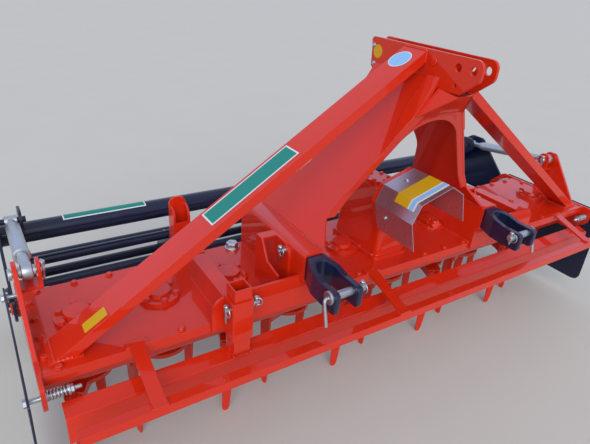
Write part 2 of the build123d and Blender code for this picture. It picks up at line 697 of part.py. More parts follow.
# Headstock leg: sloping plate with a folded front flange, a lap under the nose and a folded toe
def make_leg(side):
    rise = LEG_HEAD_Z - BOX_TOP
    run = LEG_FOOT_X - LEG_HEAD_X
    slant = math.hypot(rise, run) / rise
    plane = Plane(origin=(LEG_FOOT_X, 0, BOX_TOP), x_dir=(0, 1, 0), z_dir=(-rise, 0, -run))
    top = (BRACKET_TOP - BOX_TOP) * slant
    front = [(y, (z - BOX_TOP) * slant) for y, z in SKIN_LINE[:3]]
    outline = [(TOE_BACK, 0), *front, (BROW_Y, top), (LEG_REAR, top), (LEG_REAR, LEG_REAR_RISE, LEG_REAR_R), (LEG_REAR_FOOT, 0)]
    turn = -1 if plane.y_dir.Z < 0 else 1
    seat = plane * flat([(p[0], turn * p[1], *p[2:]) for p in outline])
    leg = extrude(seat, amount=LEG_T)
    lap_low = (LEG_LAP_Z - BOX_TOP) * slant
    brow = (BROW_Z - BOX_TOP) * slant
    lap_front = SHIN_Y + (LEG_LAP_Z - SHIN_Z) * (BROW_Y - SHIN_Y) / (BROW_Z - SHIN_Z)
    lap = [(lap_front + STAY_T, lap_low), (lap_front, lap_low), (BROW_Y, brow), (BROW_Y, top), (BROW_Y + LEG_LAP, top), (BROW_Y + LEG_LAP, brow)]
    leg += extrude(plane * flat([(y, turn * s) for y, s in lap]), amount=-LEG_LAP_T)
    strip = [
        (leg_x(KNEE_Z), KNEE_Z), (leg_x(BROW_Z), BROW_Z),
        (leg_x(BROW_Z) - LEG_FLANGE, BROW_Z), (leg_x(KNEE_Z) - LEG_FLANGE, KNEE_Z),
    ]
    leg += prism_y(strip, NOSE_Y, SHIN_Y + 2 * SKIN_T) & front_skin(BOX_X)
    leg -= block(-BOX_X, BRACKET_OUT, 2 * PIN_Y, LEG_REAR_FOOT, BOX_TOP, 2 * BRACKET_TOP)
    leg -= block(BRACKET_OUT - 1, BOX_X, 2 * PIN_Y, LEG_REAR_FOOT, BRACKET_LOW + BRACKET_H / 2, 2 * BRACKET_TOP)
    return handed(leg + make_toe() - block(0, 2 * BOX_X, 2 * PIN_Y, 2 * LEG_REAR_FOOT, 0, BOX_TOP), side)


# Triangular toe folded in from a leg's front edge to the box's front
def make_toe():
    heel = Vector(LEG_FOOT_X, TOE_BACK, BOX_TOP)
    knee = Vector(leg_x(KNEE_Z), KNEE_Y, KNEE_Z)
    tip = Vector(LEG_FOOT_X - TOE_IN, TOE_FRONT + 2 * SKIN_T, BOX_TOP)
    side = Plane(origin=heel, x_dir=(knee - heel), z_dir=(knee - heel).cross(tip - heel))
    inward = -LEG_T if side.z_dir.X > 0 else LEG_T
    return extrude(make_face(Polyline(heel, knee, tip, close=True)), amount=LEG_T, dir=side.z_dir * (inward / LEG_T))


# Front plate between the legs, arched below and folded forward to the nose above
def make_arch():
    low, high = leg_x(ARCH_SPRING) - LEG_FLANGE, leg_x(BROW_Z)
    outline = [
        (-low, ARCH_SPRING), (low, ARCH_SPRING), (high - LEG_FLANGE, BROW_Z), (high, BROW_Z + 1),
        (BRACKET_OUT, NOSE_Z), (-BRACKET_OUT, NOSE_Z), (-high, BROW_Z + 1), (-high + LEG_FLANGE, BROW_Z),
    ]
    plate = front_skin(LEG_FOOT_X) & prism_y(outline, NOSE_Y - 1, SHIN_Y + SKIN_T)
    rise = ARCH_CROWN - ARCH_SPRING
    radius = (rise ** 2 + low ** 2) / (2 * rise)
    plate -= rod_y(0, ARCH_CROWN - radius, 2 * radius, NOSE_Y, SHIN_Y + SKIN_T)
    for side in (-1, 1):
        brow = Vector(side * high, BROW_Y, BROW_Z)
        nose = Vector(side * BRACKET_OUT, NOSE_Y, NOSE_Z)
        root = Vector(side * BRACKET_OUT, BROW_Y, BRACKET_LOW + STAY_T)
        inside = Vector(-side, 0, -1).normalized()
        plate += extrude(make_face(Polyline(brow, nose, root, close=True)), amount=NOSE_PLATE_T, dir=inside)
        plate -= make_leg(side)
    plate -= make_bracket()
    plate -= block(-BRACKET_OUT, BRACKET_OUT, BRACKET_FRONT, 0, NOSE_Z, BRACKET_TOP)
    return plate.solids().sort_by(SortBy.VOLUME)[-1]


# Two upright plates for the top link, with a rear cross plate
def make_bracket():
    outline = [
        (BRACKET_REAR, BRACKET_TOP, BRACKET_R / 2), (BRACKET_REAR - BRACKET_REAR_LEAN, BRACKET_LOW, BRACKET_R / 2),
        (NOSE_Y, BRACKET_LOW), (BRACKET_FRONT, BRACKET_LOW + BRACKET_CHIN, BRACKET_R),
        (BRACKET_FRONT, BRACKET_TOP, BRACKET_R),
    ]
    plate = prism_x(outline, BRACKET_OUT - BRACKET_T, BRACKET_OUT)
    for y in (TOP_PIN_Y, TOP_PIN_Y + TOP_PIN_STEP):
        plate -= rod_x(y, TOP_PIN_Z, TOP_BORE, 0, BRACKET_OUT + 1)
    plate -= rod_x(LATCH_Y, BRACKET_TOP - LATCH_DROP, LATCH_BORE, 0, BRACKET_OUT + 1)
    cross = [
        (BRACKET_REAR - 2 * BRACKET_T, BRACKET_LOW + BRACKET_T), (BRACKET_REAR - BRACKET_T, BRACKET_LOW + BRACKET_T),
        (BRACKET_REAR - BRACKET_T / 2, BRACKET_TOP - BRACKET_R), (BRACKET_REAR - 2 * BRACKET_T, BRACKET_TOP - BRACKET_R),
    ]
    return plate + mirrored(plate) + prism_x(cross, -BRACKET_OUT + 1, BRACKET_OUT - 1)


# Rectangular tube from the top bracket to a pad near the trough's end
def make_stay(side):
    head = BRACKET_TOP - STAY_HEAD_DROP
    base = COVER_TOP + STAY_PAD_T
    run, drop = STAY_FOOT_X - BRACKET_OUT, head - base
    slant = math.hypot(run, drop)
    upright, level = slant / run, slant / drop
    outer = [
        (BRACKET_OUT, head), (BRACKET_OUT, head - STAY_H * upright),
        (STAY_FOOT_X - STAY_H * level, base), (STAY_FOOT_X, base),
    ]
    fall = drop / run
    inner = [
        (BRACKET_OUT - 1, head - STAY_T * upright + fall), (BRACKET_OUT - 1, head - (STAY_H - STAY_T) * upright + fall),
        (STAY_FOOT_X - (STAY_H - STAY_T) * level, base), (STAY_FOOT_X - STAY_T * level, base),
    ]
    y0, y1 = STAY_Y - STAY_W / 2, STAY_Y + STAY_W / 2
    tube = prism_y(outer, y0, y1) - prism_y(inner, y0 + STAY_T, y1 - STAY_T)
    edge = STAY_PAD_EDGE
    tube += block(STAY_FOOT_X - STAY_H * level - edge, STAY_FOOT_X + edge, y0 - edge / 3, y1 + edge / 3, COVER_TOP, base)
    return handed(tube, side)


# Cast hitch fork: its plan and its side view, drawn out and kept where they cross
def make_fork(side):
    neck = FORK_NECK_W / 2
    throat = BOX_FRONT - FORK_FLARE
    nose = PIN_Y - FORK_NOSE
    plan = [
        (-neck, BOX_FRONT + FORK_ROOT), (-neck, BOX_FRONT - FORK_SIDE_GAP), (-FORK_OUT, throat, FORK_R),
        (-FORK_OUT, nose, FORK_R / 2), (-FORK_GAP / 2, nose, FORK_R / 2), (-FORK_GAP / 2, throat, FORK_R),
        (-FORK_GAP / 4, BOX_FRONT - FORK_WEB, FORK_R), (FORK_GAP / 4, BOX_FRONT - FORK_WEB, FORK_R),
        (FORK_GAP / 2, throat, FORK_R), (FORK_GAP / 2, nose, FORK_R / 2), (FORK_OUT, nose, FORK_R / 2),
        (FORK_OUT, throat, FORK_R), (neck, BOX_FRONT - FORK_SIDE_GAP), (neck, BOX_FRONT + FORK_ROOT),
    ]
    z0, z1 = BOX_FLOOR + BOX_WALL, BOX_TOP - BOX_WALL - FORK_SIDE_GAP
    view = [
        (BOX_FRONT + FORK_ROOT, z0), (BOX_FRONT - FORK_R, z0), (PIN_Y + FORK_LOBE, PIN_Z - FORK_LOBE, FORK_R),
        (nose, PIN_Z - FORK_LOBE, FORK_R), (nose, PIN_Z + FORK_BROW, FORK_BROW - 2),
        (PIN_Y + FORK_LOBE, PIN_Z + FORK_BROW, FORK_R), (BOX_FRONT - FORK_R, z1), (BOX_FRONT + FORK_ROOT, z1),
    ]
    body = prism_z([(BOX_X + p[0], *p[1:]) for p in plan], PIN_Z - 2 * FORK_LOBE, PIN_Z + 2 * FORK_LOBE)
    body &= prism_x(view, BOX_X - 2 * FORK_OUT, BOX_X + 2 * FORK_OUT)
    body -= rod_x(PIN_Y, PIN_Z, PIN_D + 2 * PIN_GAP, BOX_X - 2 * FORK_OUT, BOX_X + 2 * FORK_OUT)
    return handed(body, side)


# Hitch pin with its collar, through both arms of a fork
def make_hitch_pin(side):
    pin = rod_x(PIN_Y, PIN_Z, PIN_D, BOX_X - FORK_OUT - PIN_TAIL, BOX_X + FORK_OUT + PIN_HEAD_T)
    return handed(pin + rod_x(PIN_Y, PIN_Z, PIN_HEAD_D, BOX_X + FORK_OUT + PIN_GAP, BOX_X + FORK_OUT + PIN_HEAD_T), side)


# Folded beam on the cover, behind the front plate
def make_beam(side):
    inner = BEAM_OUT - BEAM_W
    beam = block(inner, BEAM_OUT, FRONT_Y, BEAM_REAR, COVER_TOP, BEAM_TOP)
    beam -= block(inner + BEAM_T, BEAM_OUT - BEAM_T, FRONT_Y - 1, BEAM_REAR + 1, COVER_TOP - 1, BEAM_TOP - BEAM_T)
    return handed(beam, side)


# Upright plate on the cover's front edge, from a hitch box out past the beam
def make_front_plate(side):
    inner, outer = BOX_X - BOX_W / 2, BOX_X + BOX_W / 2
    low = LIP_LOW + FRONT_PLATE_INSET
    outline = [
        (inner, low), (inner, BOX_FLOOR), (outer, BOX_FLOOR), (outer, FRONT_PLATE_TOP),
        (FRONT_PLATE_OUT, FRONT_PLATE_TOP, FRONT_PLATE_R), (FRONT_PLATE_OUT, low),
    ]
    return handed(prism_y(outline, FRONT_Y - FRONT_PLATE_T, FRONT_Y), side)


# Sleeve that guides the levelling bar's post
def make_sleeve():
    bore = POST_S / 2 + SLEEVE_GAP
    out = bore + SLEEVE_T
    square = [(-1, -1), (1, -1), (1, 1), (-1, 1)]
    outer = [(POST_X + out * a, POST_Y + out * b, SLEEVE_T) for a, b in square]
    inner = [(POST_X + bore * a, POST_Y + bore * b) for a, b in square]
    return prism_z(outer, SLEEVE_LOW, SLEEVE_TOP) - prism_z(inner, SLEEVE_LOW - 1, SLEEVE_TOP + 1)


# Levelling bar: bent plate with its square post
def make_levelling_bar():
    outline = [
        (BAR_REAR, BAR_TOP), (BAR_BEND_Y, BAR_BEND_Z, BAR_R), (BAR_BEND_Y, BAR_LOW), (BAR_BEND_Y + BAR_T, BAR_LOW),
        (BAR_BEND_Y + BAR_T, BAR_BEND_Z - BAR_T, BAR_R - BAR_T), (BAR_REAR, BAR_TOP - BAR_T),
    ]
    bar = prism_x(outline, -BAR_HALF, BAR_HALF)
    half, hollow = POST_S / 2, POST_S / 2 - POST_T
    foot = BAR_BEND_Z - BAR_T
    post = block(POST_X - half, POST_X + half, POST_Y - half, POST_Y + half, foot, POST_TOP)
    post -= block(POST_X - hollow, POST_X + hollow, POST_Y - hollow, POST_Y + hollow, BAR_TOP, POST_TOP + 1)
    web = prism_y([
        (POST_X - half - POST_GUSSET, foot), (POST_X + half + POST_GUSSET, foot),
        (POST_X + half, foot + 2 * POST_GUSSET), (POST_X - half, foot + 2 * POST_GUSSET),
    ], POST_Y - BAR_T / 2, POST_Y + BAR_T / 2)
    return bar + post + (web - block(POST_X - hollow, POST_X + hollow, POST_Y - half, POST_Y + half, BAR_TOP, POST_TOP))


# Front guard: square tube and the straps that hold it
def make_guard():
    bar = block(-GUARD_HALF, GUARD_HALF, GUARD_REAR - GUARD_S, GUARD_REAR, GUARD_TOP - GUARD_S, GUARD_TOP)
    wall = GUARD_T
    bar -= block(-GUARD_HALF - 1, GUARD_HALF + 1, GUARD_REAR - GUARD_S + wall, GUARD_REAR - wall,
                 GUARD_TOP - GUARD_S + wall, GUARD_TOP - wall)
    end = GUARD_REAR - GUARD_S
    outline = [
        (FRONT_Y + STRAP_FOOT, COVER_TOP), (FRONT_Y, COVER_TOP), (GUARD_REAR, GUARD_TOP), (end, GUARD_TOP),
        (end, GUARD_TOP + STRAP_T), (GUARD_REAR, GUARD_TOP + STRAP_T),
        (FRONT_Y, COVER_TOP + STRAP_T), (FRONT_Y + STRAP_FOOT, COVER_TOP + STRAP_T),
    ]
    for x in STRAP_X:
        bar += prism_x(outline, x - STRAP_W / 2, x + STRAP_W / 2)
        bar += block(x - PAD_W / 2, x + PAD_W / 2, FRONT_Y, FRONT_Y + STRAP_FOOT, COVER_TOP, COVER_TOP + STRAP_T)
    return bar


# Upright channel behind the cover: a round-topped back, two cheeks and a lower front plate
def make_rear_hook(side):
    front, back = REAR_Y, REAR_Y + HOOK_BACK
    inner, outer = HOOK_X - HOOK_W / 2, HOOK_X + HOOK_W / 2
    brow = HOOK_TOP - HOOK_R
    piece = prism_y([
        (inner, LIP_LOW), (inner, HOOK_TOP, HOOK_R), (outer, HOOK_TOP, HOOK_R), (outer, LIP_LOW),
    ], back - HOOK_T, back)
    cheek = [(front, LIP_LOW), (front, brow, HOOK_BROW_R - 1), (back - 1, brow), (back - 1, LIP_LOW)]
    piece += prism_x(cheek, inner, inner + HOOK_T) + prism_x(cheek, outer - HOOK_T, outer)
    return handed(piece + block(inner + 1, outer - 1, front, front + HOOK_T, LIP_LOW, HOOK_SILL), side)


nodes = {
    "trough": make_trough(), "gear_row": make_gear_row(), "top_cover": make_cover(),
    "gearbox": make_gearbox(), "input_shaft": make_input_shaft(), "pto_hood": make_hood(),
    "arch_plate": make_arch(), "top_link_bracket": make_bracket(),
    "roller_frame": make_roller_frame(), "roller_drum": make_drum(),
    "levelling_bar": make_levelling_bar(), "guard_bar": make_guard(),
    "post_sleeve": make_sleeve(), "post_beam": make_beam(-1), "post_beam_right": make_beam(1),
}
for name, side in (("left", -1), ("right", 1)):
    nodes["end_plate_" + name] = make_end_plate(side)
    nodes["deflector_" + name] = make_deflector(side)
    nodes["link_bracket_" + name] = make_link_bracket(side)
    nodes["link_fork_" + name] = make_link_fork(side)
    nodes["link_barrel_" + name] = make_link_barrel(side)
    nodes["hitch_box_" + name] = make_hitch_box(side)
    nodes["leg_" + name] = make_leg(side)
    nodes["stay_" + name] = make_stay(side)
    nodes["fork_" + name] = make_fork(side)
    nodes["hitch_pin_" + name] = make_hitch_pin(side)
    nodes["front_plate_" + name] = make_front_plate(side)
    nodes["rear_hook_" + name] = make_rear_hook(side)
for index in range(ROTOR_COUNT):
    phase, lead = PHASE[index % 2]
    nodes[f"rotor_{index + 1:02d}"] = make_rotor(index, phase)
    nodes[f"tines_{index + 1:02d}"] = make_tines(index, phase, lead)

# Everything is centred over its own footprint
os.makedirs("parts", exist_ok=True)
for name, shape in nodes.items():
    export_step(Pos(0, -CENTRE_Y, 0) * shape, "parts/" + name + ".step")
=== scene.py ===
"""Power harrow with a cage roller: finishes, fittings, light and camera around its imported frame."""
import json
import logging
import math
from dataclasses import dataclass, field
from enum import Enum

import bmesh
import bpy
import numpy as np
from mathutils import Matrix, Vector


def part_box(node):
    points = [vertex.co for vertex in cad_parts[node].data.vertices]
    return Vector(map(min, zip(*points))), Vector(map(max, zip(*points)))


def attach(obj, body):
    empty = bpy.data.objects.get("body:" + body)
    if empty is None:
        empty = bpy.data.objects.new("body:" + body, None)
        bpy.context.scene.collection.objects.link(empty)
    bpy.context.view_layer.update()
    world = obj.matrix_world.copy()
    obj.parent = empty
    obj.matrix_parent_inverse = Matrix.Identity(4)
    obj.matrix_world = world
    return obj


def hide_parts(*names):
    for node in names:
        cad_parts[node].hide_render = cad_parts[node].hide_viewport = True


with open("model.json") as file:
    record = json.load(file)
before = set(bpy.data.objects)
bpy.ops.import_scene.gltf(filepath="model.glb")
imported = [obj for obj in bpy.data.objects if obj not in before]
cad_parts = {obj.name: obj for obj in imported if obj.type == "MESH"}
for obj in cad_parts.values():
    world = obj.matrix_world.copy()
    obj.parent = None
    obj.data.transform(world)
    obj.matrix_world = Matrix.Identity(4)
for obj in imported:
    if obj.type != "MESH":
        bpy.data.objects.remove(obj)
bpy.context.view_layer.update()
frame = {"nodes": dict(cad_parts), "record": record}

LOG = logging.getLogger("power_harrow")
Array = np.ndarray
Pair = tuple[float, float]
Triple = tuple[float, float, float]
Point = Triple | Array
Profile = list[Pair] | tuple[Pair, ...] | Array

# Meshes: the bend that counts as sharp, and in metres the gap that closes and the edge that is dropped
SHARP_ANGLE = math.radians(32.0)
SEAM = 2e-6
SLIVER = 1e-6

# Bolts: the sides of a head, and the angle at which a ring of them starts
HEXAGON = 6
RING_START = math.radians(30.0)

UP: Triple = (0.0, 0.0, 1.0)
FORWARD: Triple = (0.0, -1.0, 0.0)
REARWARD: Triple = (0.0, 1.0, 0.0)

# Sizes of the machine that several classes share, in metres
ROTOR_ROW = -0.215
ROTOR_COUNT = 10
ROTOR_PITCH = 0.25
COVER_TOP = 0.514
END_WALL = 1.257
BRACKET_FACE = 0.037
SHAFT_Z = 0.742
HOOD_ROLL = math.radians(17.0)
STRAPS: Triple = (-1.010, -0.140, 1.027)
ROLLER_TUBE: Pair = (0.680, 0.480)
ROLLER_TUBE_RADIUS = 0.042


def row(y: float | Array) -> float | Array:
    """A depth counted from the rotor axes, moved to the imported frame."""
    return y + ROTOR_ROW


class Side(Enum):
    """Left and right of the machine, seen from the front, as the sign of X."""

    LEFT = -1
    RIGHT = 1

    @property
    def word(self) -> str:
        """The side's name as the nodes carry it."""
        return self.name.lower()

    @property
    def out(self) -> Triple:
        """Unit direction away from the middle."""
        return (float(self.value), 0.0, 0.0)

    def at(self, x: float, y: float, z: float) -> Triple:
        """Point at a distance from the middle, its depth counted from the rotor axes."""
        return (self.value * x, row(y), z)


class Slot(Enum):
    """Material slots of the record."""

    RED = "red_paint"
    NAVY = "navy_paint"
    ZINC = "zinc"
    HOOD = "hood_sheet"
    GEAR = "gear_steel"


# Surfaces worked out as arrays


def around(count: int) -> Array:
    """Even angles of one full turn, without the repeated last one."""
    return np.arange(count) * (2 * math.pi / count)


def joined(x: float | Array, y: float | Array, z: float | Array) -> Array:
    """Points from their three coordinates, each a number or an array of matching shape."""
    return np.stack(np.broadcast_arrays(x, y, z), axis=-1)


def circle(radius: float, sides: int) -> Array:
    """Round outline of a radius: its cosines and sines, as (sides, 2) points."""
    return radius * np.stack((np.cos(around(sides)), np.sin(around(sides))), axis=1)


def axes_of(axis: Point) -> tuple[Array, Array, Array]:
    """Two unit vectors across an axis, and the axis itself.

    Args:
        axis: direction, of any length.

    Returns:
        The two cross vectors and the unit axis, right-handed.
    """
    a = np.asarray(axis, float)
    a = a / np.linalg.norm(a)
    upright = abs(a[2]) > 0.9
    e1 = np.cross((1.0, 0.0, 0.0) if upright else UP, a)
    e1 /= np.linalg.norm(e1)
    return e1, np.cross(a, e1), a


def lathe(profile: Profile, centre: Point, axis: Point, sides: int = 24) -> Array:
    """Surface of revolution: radius and height of a profile row, turned about an axis by the column's angle.

    Args:
        profile: rows of (radius, height).
        centre: point on the axis at height zero.
        axis: direction of growing height.
        sides: columns round the axis.

    Returns:
        Grid of points, rows along the profile and columns round the axis.
    """
    e1, e2, a = axes_of(axis)
    rim = circle(1.0, sides) @ np.array((e1, e2))
    radius, height = np.asarray(profile, float).T[:, :, None, None]
    return np.asarray(centre, float) + radius * rim + height * a


def button(radius: float, height: float, crown: float | None = None, chamfer: float = 0.0) -> list[Pair]:
    """Profile of a flat head, as rows of (radius, height), with a chamfer up to its crown if it has one."""
    foot = [(0.0, 0.0), (radius, 0.0), (radius, height - chamfer)]
    return foot + ([] if crown is None else [(crown, height)]) + [(0.0, height)]


def carried(path: Array, section: Array, guide: Point, scale: Array | None = None) -> Array:
    """Section carried along a path: each path point plus the section's two coordinates along the two vectors
    that lie across the path's tangent, the first of them across the guide too.

    Args:
        path: points along the way, (n, 3).
        section: closed outline, (m, 2).
        guide: direction that never lines up with the path.
        scale: factor on the section at each path point, or None.

    Returns:
        Grid of points, rows along the path and columns round the section.
    """
    path = np.asarray(path, float)
    tangent = np.gradient(path, axis=0)
    tangent /= np.linalg.norm(tangent, axis=1)[:, None]
    e1 = np.cross(tangent, np.asarray(guide, float))
    e1 /= np.linalg.norm(e1, axis=1)[:, None]
    e2 = np.cross(e1, tangent)
    size = np.ones(len(path)) if scale is None else np.asarray(scale, float)
    across = section[None, :, 0:1] * e1[:, None] + section[None, :, 1:2] * e2[:, None]
    return path[:, None] + across * size[:, None, None]


def closed_ends(grid: Array) -> Array:
    """A grid with one row more at each end, gathered on that end's middle, which closes a tube."""
    first, last = (np.broadcast_to(end.mean(0), end.shape)[None] for end in (grid[0], grid[-1]))
    return np.concatenate((first, grid, last))


def coil(start: Point, axis: Point, radius: float, length: float, turns: float, steps: int = 20,
         open_share: float = 0.88) -> Array:
    """Line of a coil spring: a circle's two coordinates with a height that grows slowly all along, and by
    the open share of the length between one nearly closed turn at each end.

    Args:
        start: middle of the first end.
        axis: direction of growth.
        radius: radius of the line.
        length: height of the coil.
        turns: number of turns.
        steps: points on each turn.
        open_share: share of the length that the open turns take.

    Returns:
        Points along the line.
    """
    e1, e2, a = axes_of(axis)
    t = np.linspace(0.0, turns, int(turns * steps) + 1)
    rise = open_share * np.clip((t - 1.0) / (turns - 2.0), 0.0, 1.0) + (1.0 - open_share) * t / turns
    angle = t[:, None] * 2 * math.pi
    round_line = np.asarray(start, float) + radius * (np.cos(angle) * e1 + np.sin(angle) * e2)
    return round_line + length * rise[:, None] * a


def bent(start: Point, first: Point, second: Point, lengths: Pair, radius: float, steps: int = 8) -> Array:
    """Line that runs along one direction, turns a quarter circle and runs on along another at right angles.

    Args:
        start: first point.
        first: unit direction of the first run.
        second: unit direction of the second run.
        lengths: lengths of the two runs without the turn.
        radius: radius of the turn.
        steps: points in the turn.

    Returns:
        Points along the line.
    """
    p, u, v = (np.asarray(value, float) for value in (start, first, second))
    knee = p + u * lengths[0]
    angle = np.linspace(0.0, math.pi / 2, steps)[:, None]
    turn = knee + radius * (np.sin(angle) * u + (1 - np.cos(angle)) * v)
    return np.concatenate((p[None], turn, (turn[-1] + v * lengths[1])[None]))


def torus(centre: Point, first: Point, second: Point, radius: float, wire: float, steps: int = 28) -> Array:
    """Closed ring of round wire: a circle in the plane of two unit directions plus a small one across it.

    Args:
        centre: middle of the ring.
        first: first direction of the plane.
        second: second direction of the plane.
        radius: radius of the ring's line.
        wire: radius of the wire.
        steps: rows round the ring.

    Returns:
        Grid of points whose rows and columns both close.
    """
    outward = circle(1.0, steps) @ np.array((first, second), float)
    line = np.asarray(centre, float) + radius * outward
    small = circle(wire, sides=8)
    return line[:, None] + small[:, :1] * outward[:, None] + small[:, 1:] * np.cross(first, second)


def rounded(corners: Array, radii: Array, steps: int) -> Array:
    """Outline with rounded corners: each corner gives way to the curve between the points one radius away on
    its two edges, a blend of start, corner and end by the squares of the share passed.

    Args:
        corners: (n, 2) points.
        radii: reach of the rounding along the edges, one for each corner.
        steps: points on each rounded corner.

    Returns:
        (n * steps, 2) points.
    """
    p = np.asarray(corners, float)
    reach = np.asarray(radii, float)[:, None]
    back, ahead = np.roll(p, 1, axis=0) - p, np.roll(p, -1, axis=0) - p
    start = p + back / np.linalg.norm(back, axis=1)[:, None] * reach
    end = p + ahead / np.linalg.norm(ahead, axis=1)[:, None] * reach
    t = np.linspace(0.0, 1.0, steps)[None, :, None]
    curve = (1 - t) ** 2 * start[:, None] + 2 * t * (1 - t) * p[:, None] + t ** 2 * end[:, None]
    return curve.reshape(-1, 2)


def inward(outline: Array, distance: float, least: float = 0.35) -> Array:
    """Outline moved inward along the mitred normals of its edges.

    Args:
        outline: (n, 2) points, anticlockwise.
        distance: how far each edge moves.
        least: lowest value of the mitre's divisor, which keeps sharp corners from shooting out.

    Returns:
        (n, 2) points.
    """
    edge = np.roll(outline, -1, axis=0) - outline
    edge /= np.maximum(np.linalg.norm(edge, axis=1), 1e-12)[:, None]
    normal = np.stack((edge[:, 1], -edge[:, 0]), axis=1)
    before = np.roll(normal, 1, axis=0)
    share = 1 + (normal * before).sum(1)
    return outline - distance * (normal + before) / np.maximum(share, least)[:, None]


@dataclass
class Skin:
    """Surfaces gathered into one mesh."""

    points: list[Array] = field(default_factory=list)
    quads: list[Array] = field(default_factory=list)
    lids: list[Array] = field(default_factory=list)
    count: int = 0

    def grid(self, grid: Array, wrap_rows: bool = False) -> "Skin":
        """Adds a grid whose columns close on themselves: each face joins a point to the next row and column.

        Args:
            grid: rows by columns of points.
            wrap_rows: whether the last row joins the first too.

        Returns:
            The skin itself.
        """
        n, m = grid.shape[:2]
        i = np.arange(n if wrap_rows else n - 1)[:, None]
        j = np.arange(m)[None]
        here, below, after = i * m, (i + 1) % n * m, (j + 1) % m
        faces = np.stack((here + j, below + j, below + after, here + after), axis=-1)
        self.quads.append(faces.reshape(-1, 4) + self.count)
        self.points.append(grid.reshape(-1, 3))
        self.count += n * m
        return self

    def copies(self, grid: Array, places: Array) -> None:
        """Adds a closed grid at each of several places, as (k, 3) offsets."""
        for place in places:
            self.grid(grid + place)

    def turned(self, profile: Profile, centre: Point, axis: Point, sides: int = 24) -> "Skin":
        """Adds a surface of revolution from a short profile."""
        return self.grid(lathe(profile, centre, axis, sides))

    def wire(self, path: Array, radius: float, guide: Point, sides: int = 8) -> "Skin":
        """Adds a round wire along a path, closed at both ends."""
        return self.grid(closed_ends(carried(path, circle(radius, sides), guide)))

    def plate(self, outline: Array, low: float, high: float, edge: float = 0.0012) -> "Skin":
        """Adds an upright plate across the X axis: its outline at four depths, drawn in by the edge's width
        at the two outer ones.

        Args:
            outline: (n, 2) points of Y and Z, anticlockwise.
            low: first X.
            high: last X.
            edge: width of the softened edge.

        Returns:
            The skin itself.
        """
        near = inward(outline, edge)
        rows = ((near, low), (outline, low + edge), (outline, high - edge), (near, high))
        lid = np.arange(len(outline)) + self.count
        self.lids += [lid, (lid + 3 * len(outline))[::-1]]
        return self.grid(np.stack([joined(x, shape[:, 0], shape[:, 1]) for shape, x in rows]))

    def sheet(self, grid: Array, thick: float, out: Point) -> "Skin":
        """Adds a thin closed sheet: an open grid, its copy one thickness out along the grid's normals (the
        cross product of the two directions' differences), and a strip round the edge.

        Args:
            grid: open grid of points on the surface below.
            thick: thickness of the sheet.
            out: rough direction away from that surface.

        Returns:
            The skin itself.
        """
        normal = np.cross(np.gradient(grid, axis=0), np.gradient(grid, axis=1))
        normal /= np.linalg.norm(normal, axis=2)[:, :, None]
        normal *= np.sign((normal * np.asarray(out, float)).sum(2))[:, :, None]
        n, m = grid.shape[:2]
        place = np.arange(n * m).reshape(n, m)
        corners = (place[:-1, :-1], place[1:, :-1], place[1:, 1:], place[:-1, 1:])
        face = np.stack(corners, axis=-1).reshape(-1, 4)
        ring = np.concatenate((place[0], place[1:, -1], place[-1, -2::-1], place[-2:0:-1, 0]))
        after = np.roll(ring, -1)
        edge = np.stack((ring, after, after + n * m, ring + n * m), axis=-1)
        self.quads.append(np.concatenate((face, face[:, ::-1] + n * m, edge)) + self.count)
        self.points.append(np.concatenate((grid.reshape(-1, 3), (grid + normal * thick).reshape(-1, 3))))
        self.count += 2 * n * m
        return self

    def weld(self, start: Point, end: Point, guide: Point, size: float = 0.004) -> "Skin":
        """Adds a weld bead: a round section carried straight along, whose size swells and shrinks as the sum
        of a short and a long sine of the way passed, and falls off toward both ends.

        Args:
            start: first end.
            end: last end.
            guide: direction across the bead.
            size: half width.

        Returns:
            The skin itself.
        """
        short_lift, short_rate = 0.16, 2.2
        long_lift, long_rate, long_start = 0.10, 0.37, 1.0
        tip, least = 0.25, 8
        a, b = np.asarray(start, float), np.asarray(end, float)
        widths = np.linalg.norm(b - a) / size
        t = np.linspace(0.0, 1.0, max(int(widths * 2), least))
        way = t * widths
        swell = 1.0 + short_lift * np.sin(way * short_rate) + long_lift * np.sin(way * long_rate + long_start)
        swell *= np.clip(np.minimum(t, 1 - t) * widths, tip, 1.0)
        bead = carried(a + (b - a) * t[:, None], circle(size, sides=6), guide, swell)
        return self.grid(closed_ends(bead))

    def build(self, name: str, finish: "Finish", body: str, slot: Slot | None = None) -> bpy.types.Object:
        """Makes the mesh object, with merged seams, outward faces and smooth shading between sharp edges.

        Args:
            name: name of the piece.
            finish: its finish.
            body: body it rides on.
            slot: record slot, or None; not used.

        Returns:
            The new object.
        """
        points = np.concatenate(self.points)
        faces = np.concatenate(self.quads).tolist() + [lid.tolist() for lid in self.lids]
        mesh = bpy.data.meshes.new(name)
        mesh.from_pydata(points.tolist(), [], faces)
        work = bmesh.new()
        work.from_mesh(mesh)
        bmesh.ops.remove_doubles(work, verts=work.verts, dist=SEAM)
        bmesh.ops.dissolve_degenerate(work, edges=work.edges, dist=SLIVER)
        bmesh.ops.recalc_face_normals(work, faces=work.faces)
        work.to_mesh(mesh)
        work.free()
        mesh.polygons.foreach_set("use_smooth", np.ones(len(mesh.polygons), bool))
        mesh.set_sharp_from_angle(angle=SHARP_ANGLE)
        mesh.materials.append(finish.material())
        piece = bpy.data.objects.new(name, mesh)
        bpy.context.scene.collection.objects.link(piece)
        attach(piece, body)
        LOG.info("%s: %d faces on %s", name, len(mesh.polygons), body)
        return piece


# Finishes


def wired(node: bpy.types.Node, values: dict[str, object]) -> bpy.types.Node:
    """A node with a constant or a link on each input named.

    Args:
        node: the node.
        values: by input, a constant or the socket that feeds it.

    Returns:
        The same node.
    """
    for name, value in values.items():
        if isinstance(value, bpy.types.NodeSocket):
            node.id_data.links.new(value, node.inputs[name])
        else:
            node.inputs[name].default_value = value
    return node


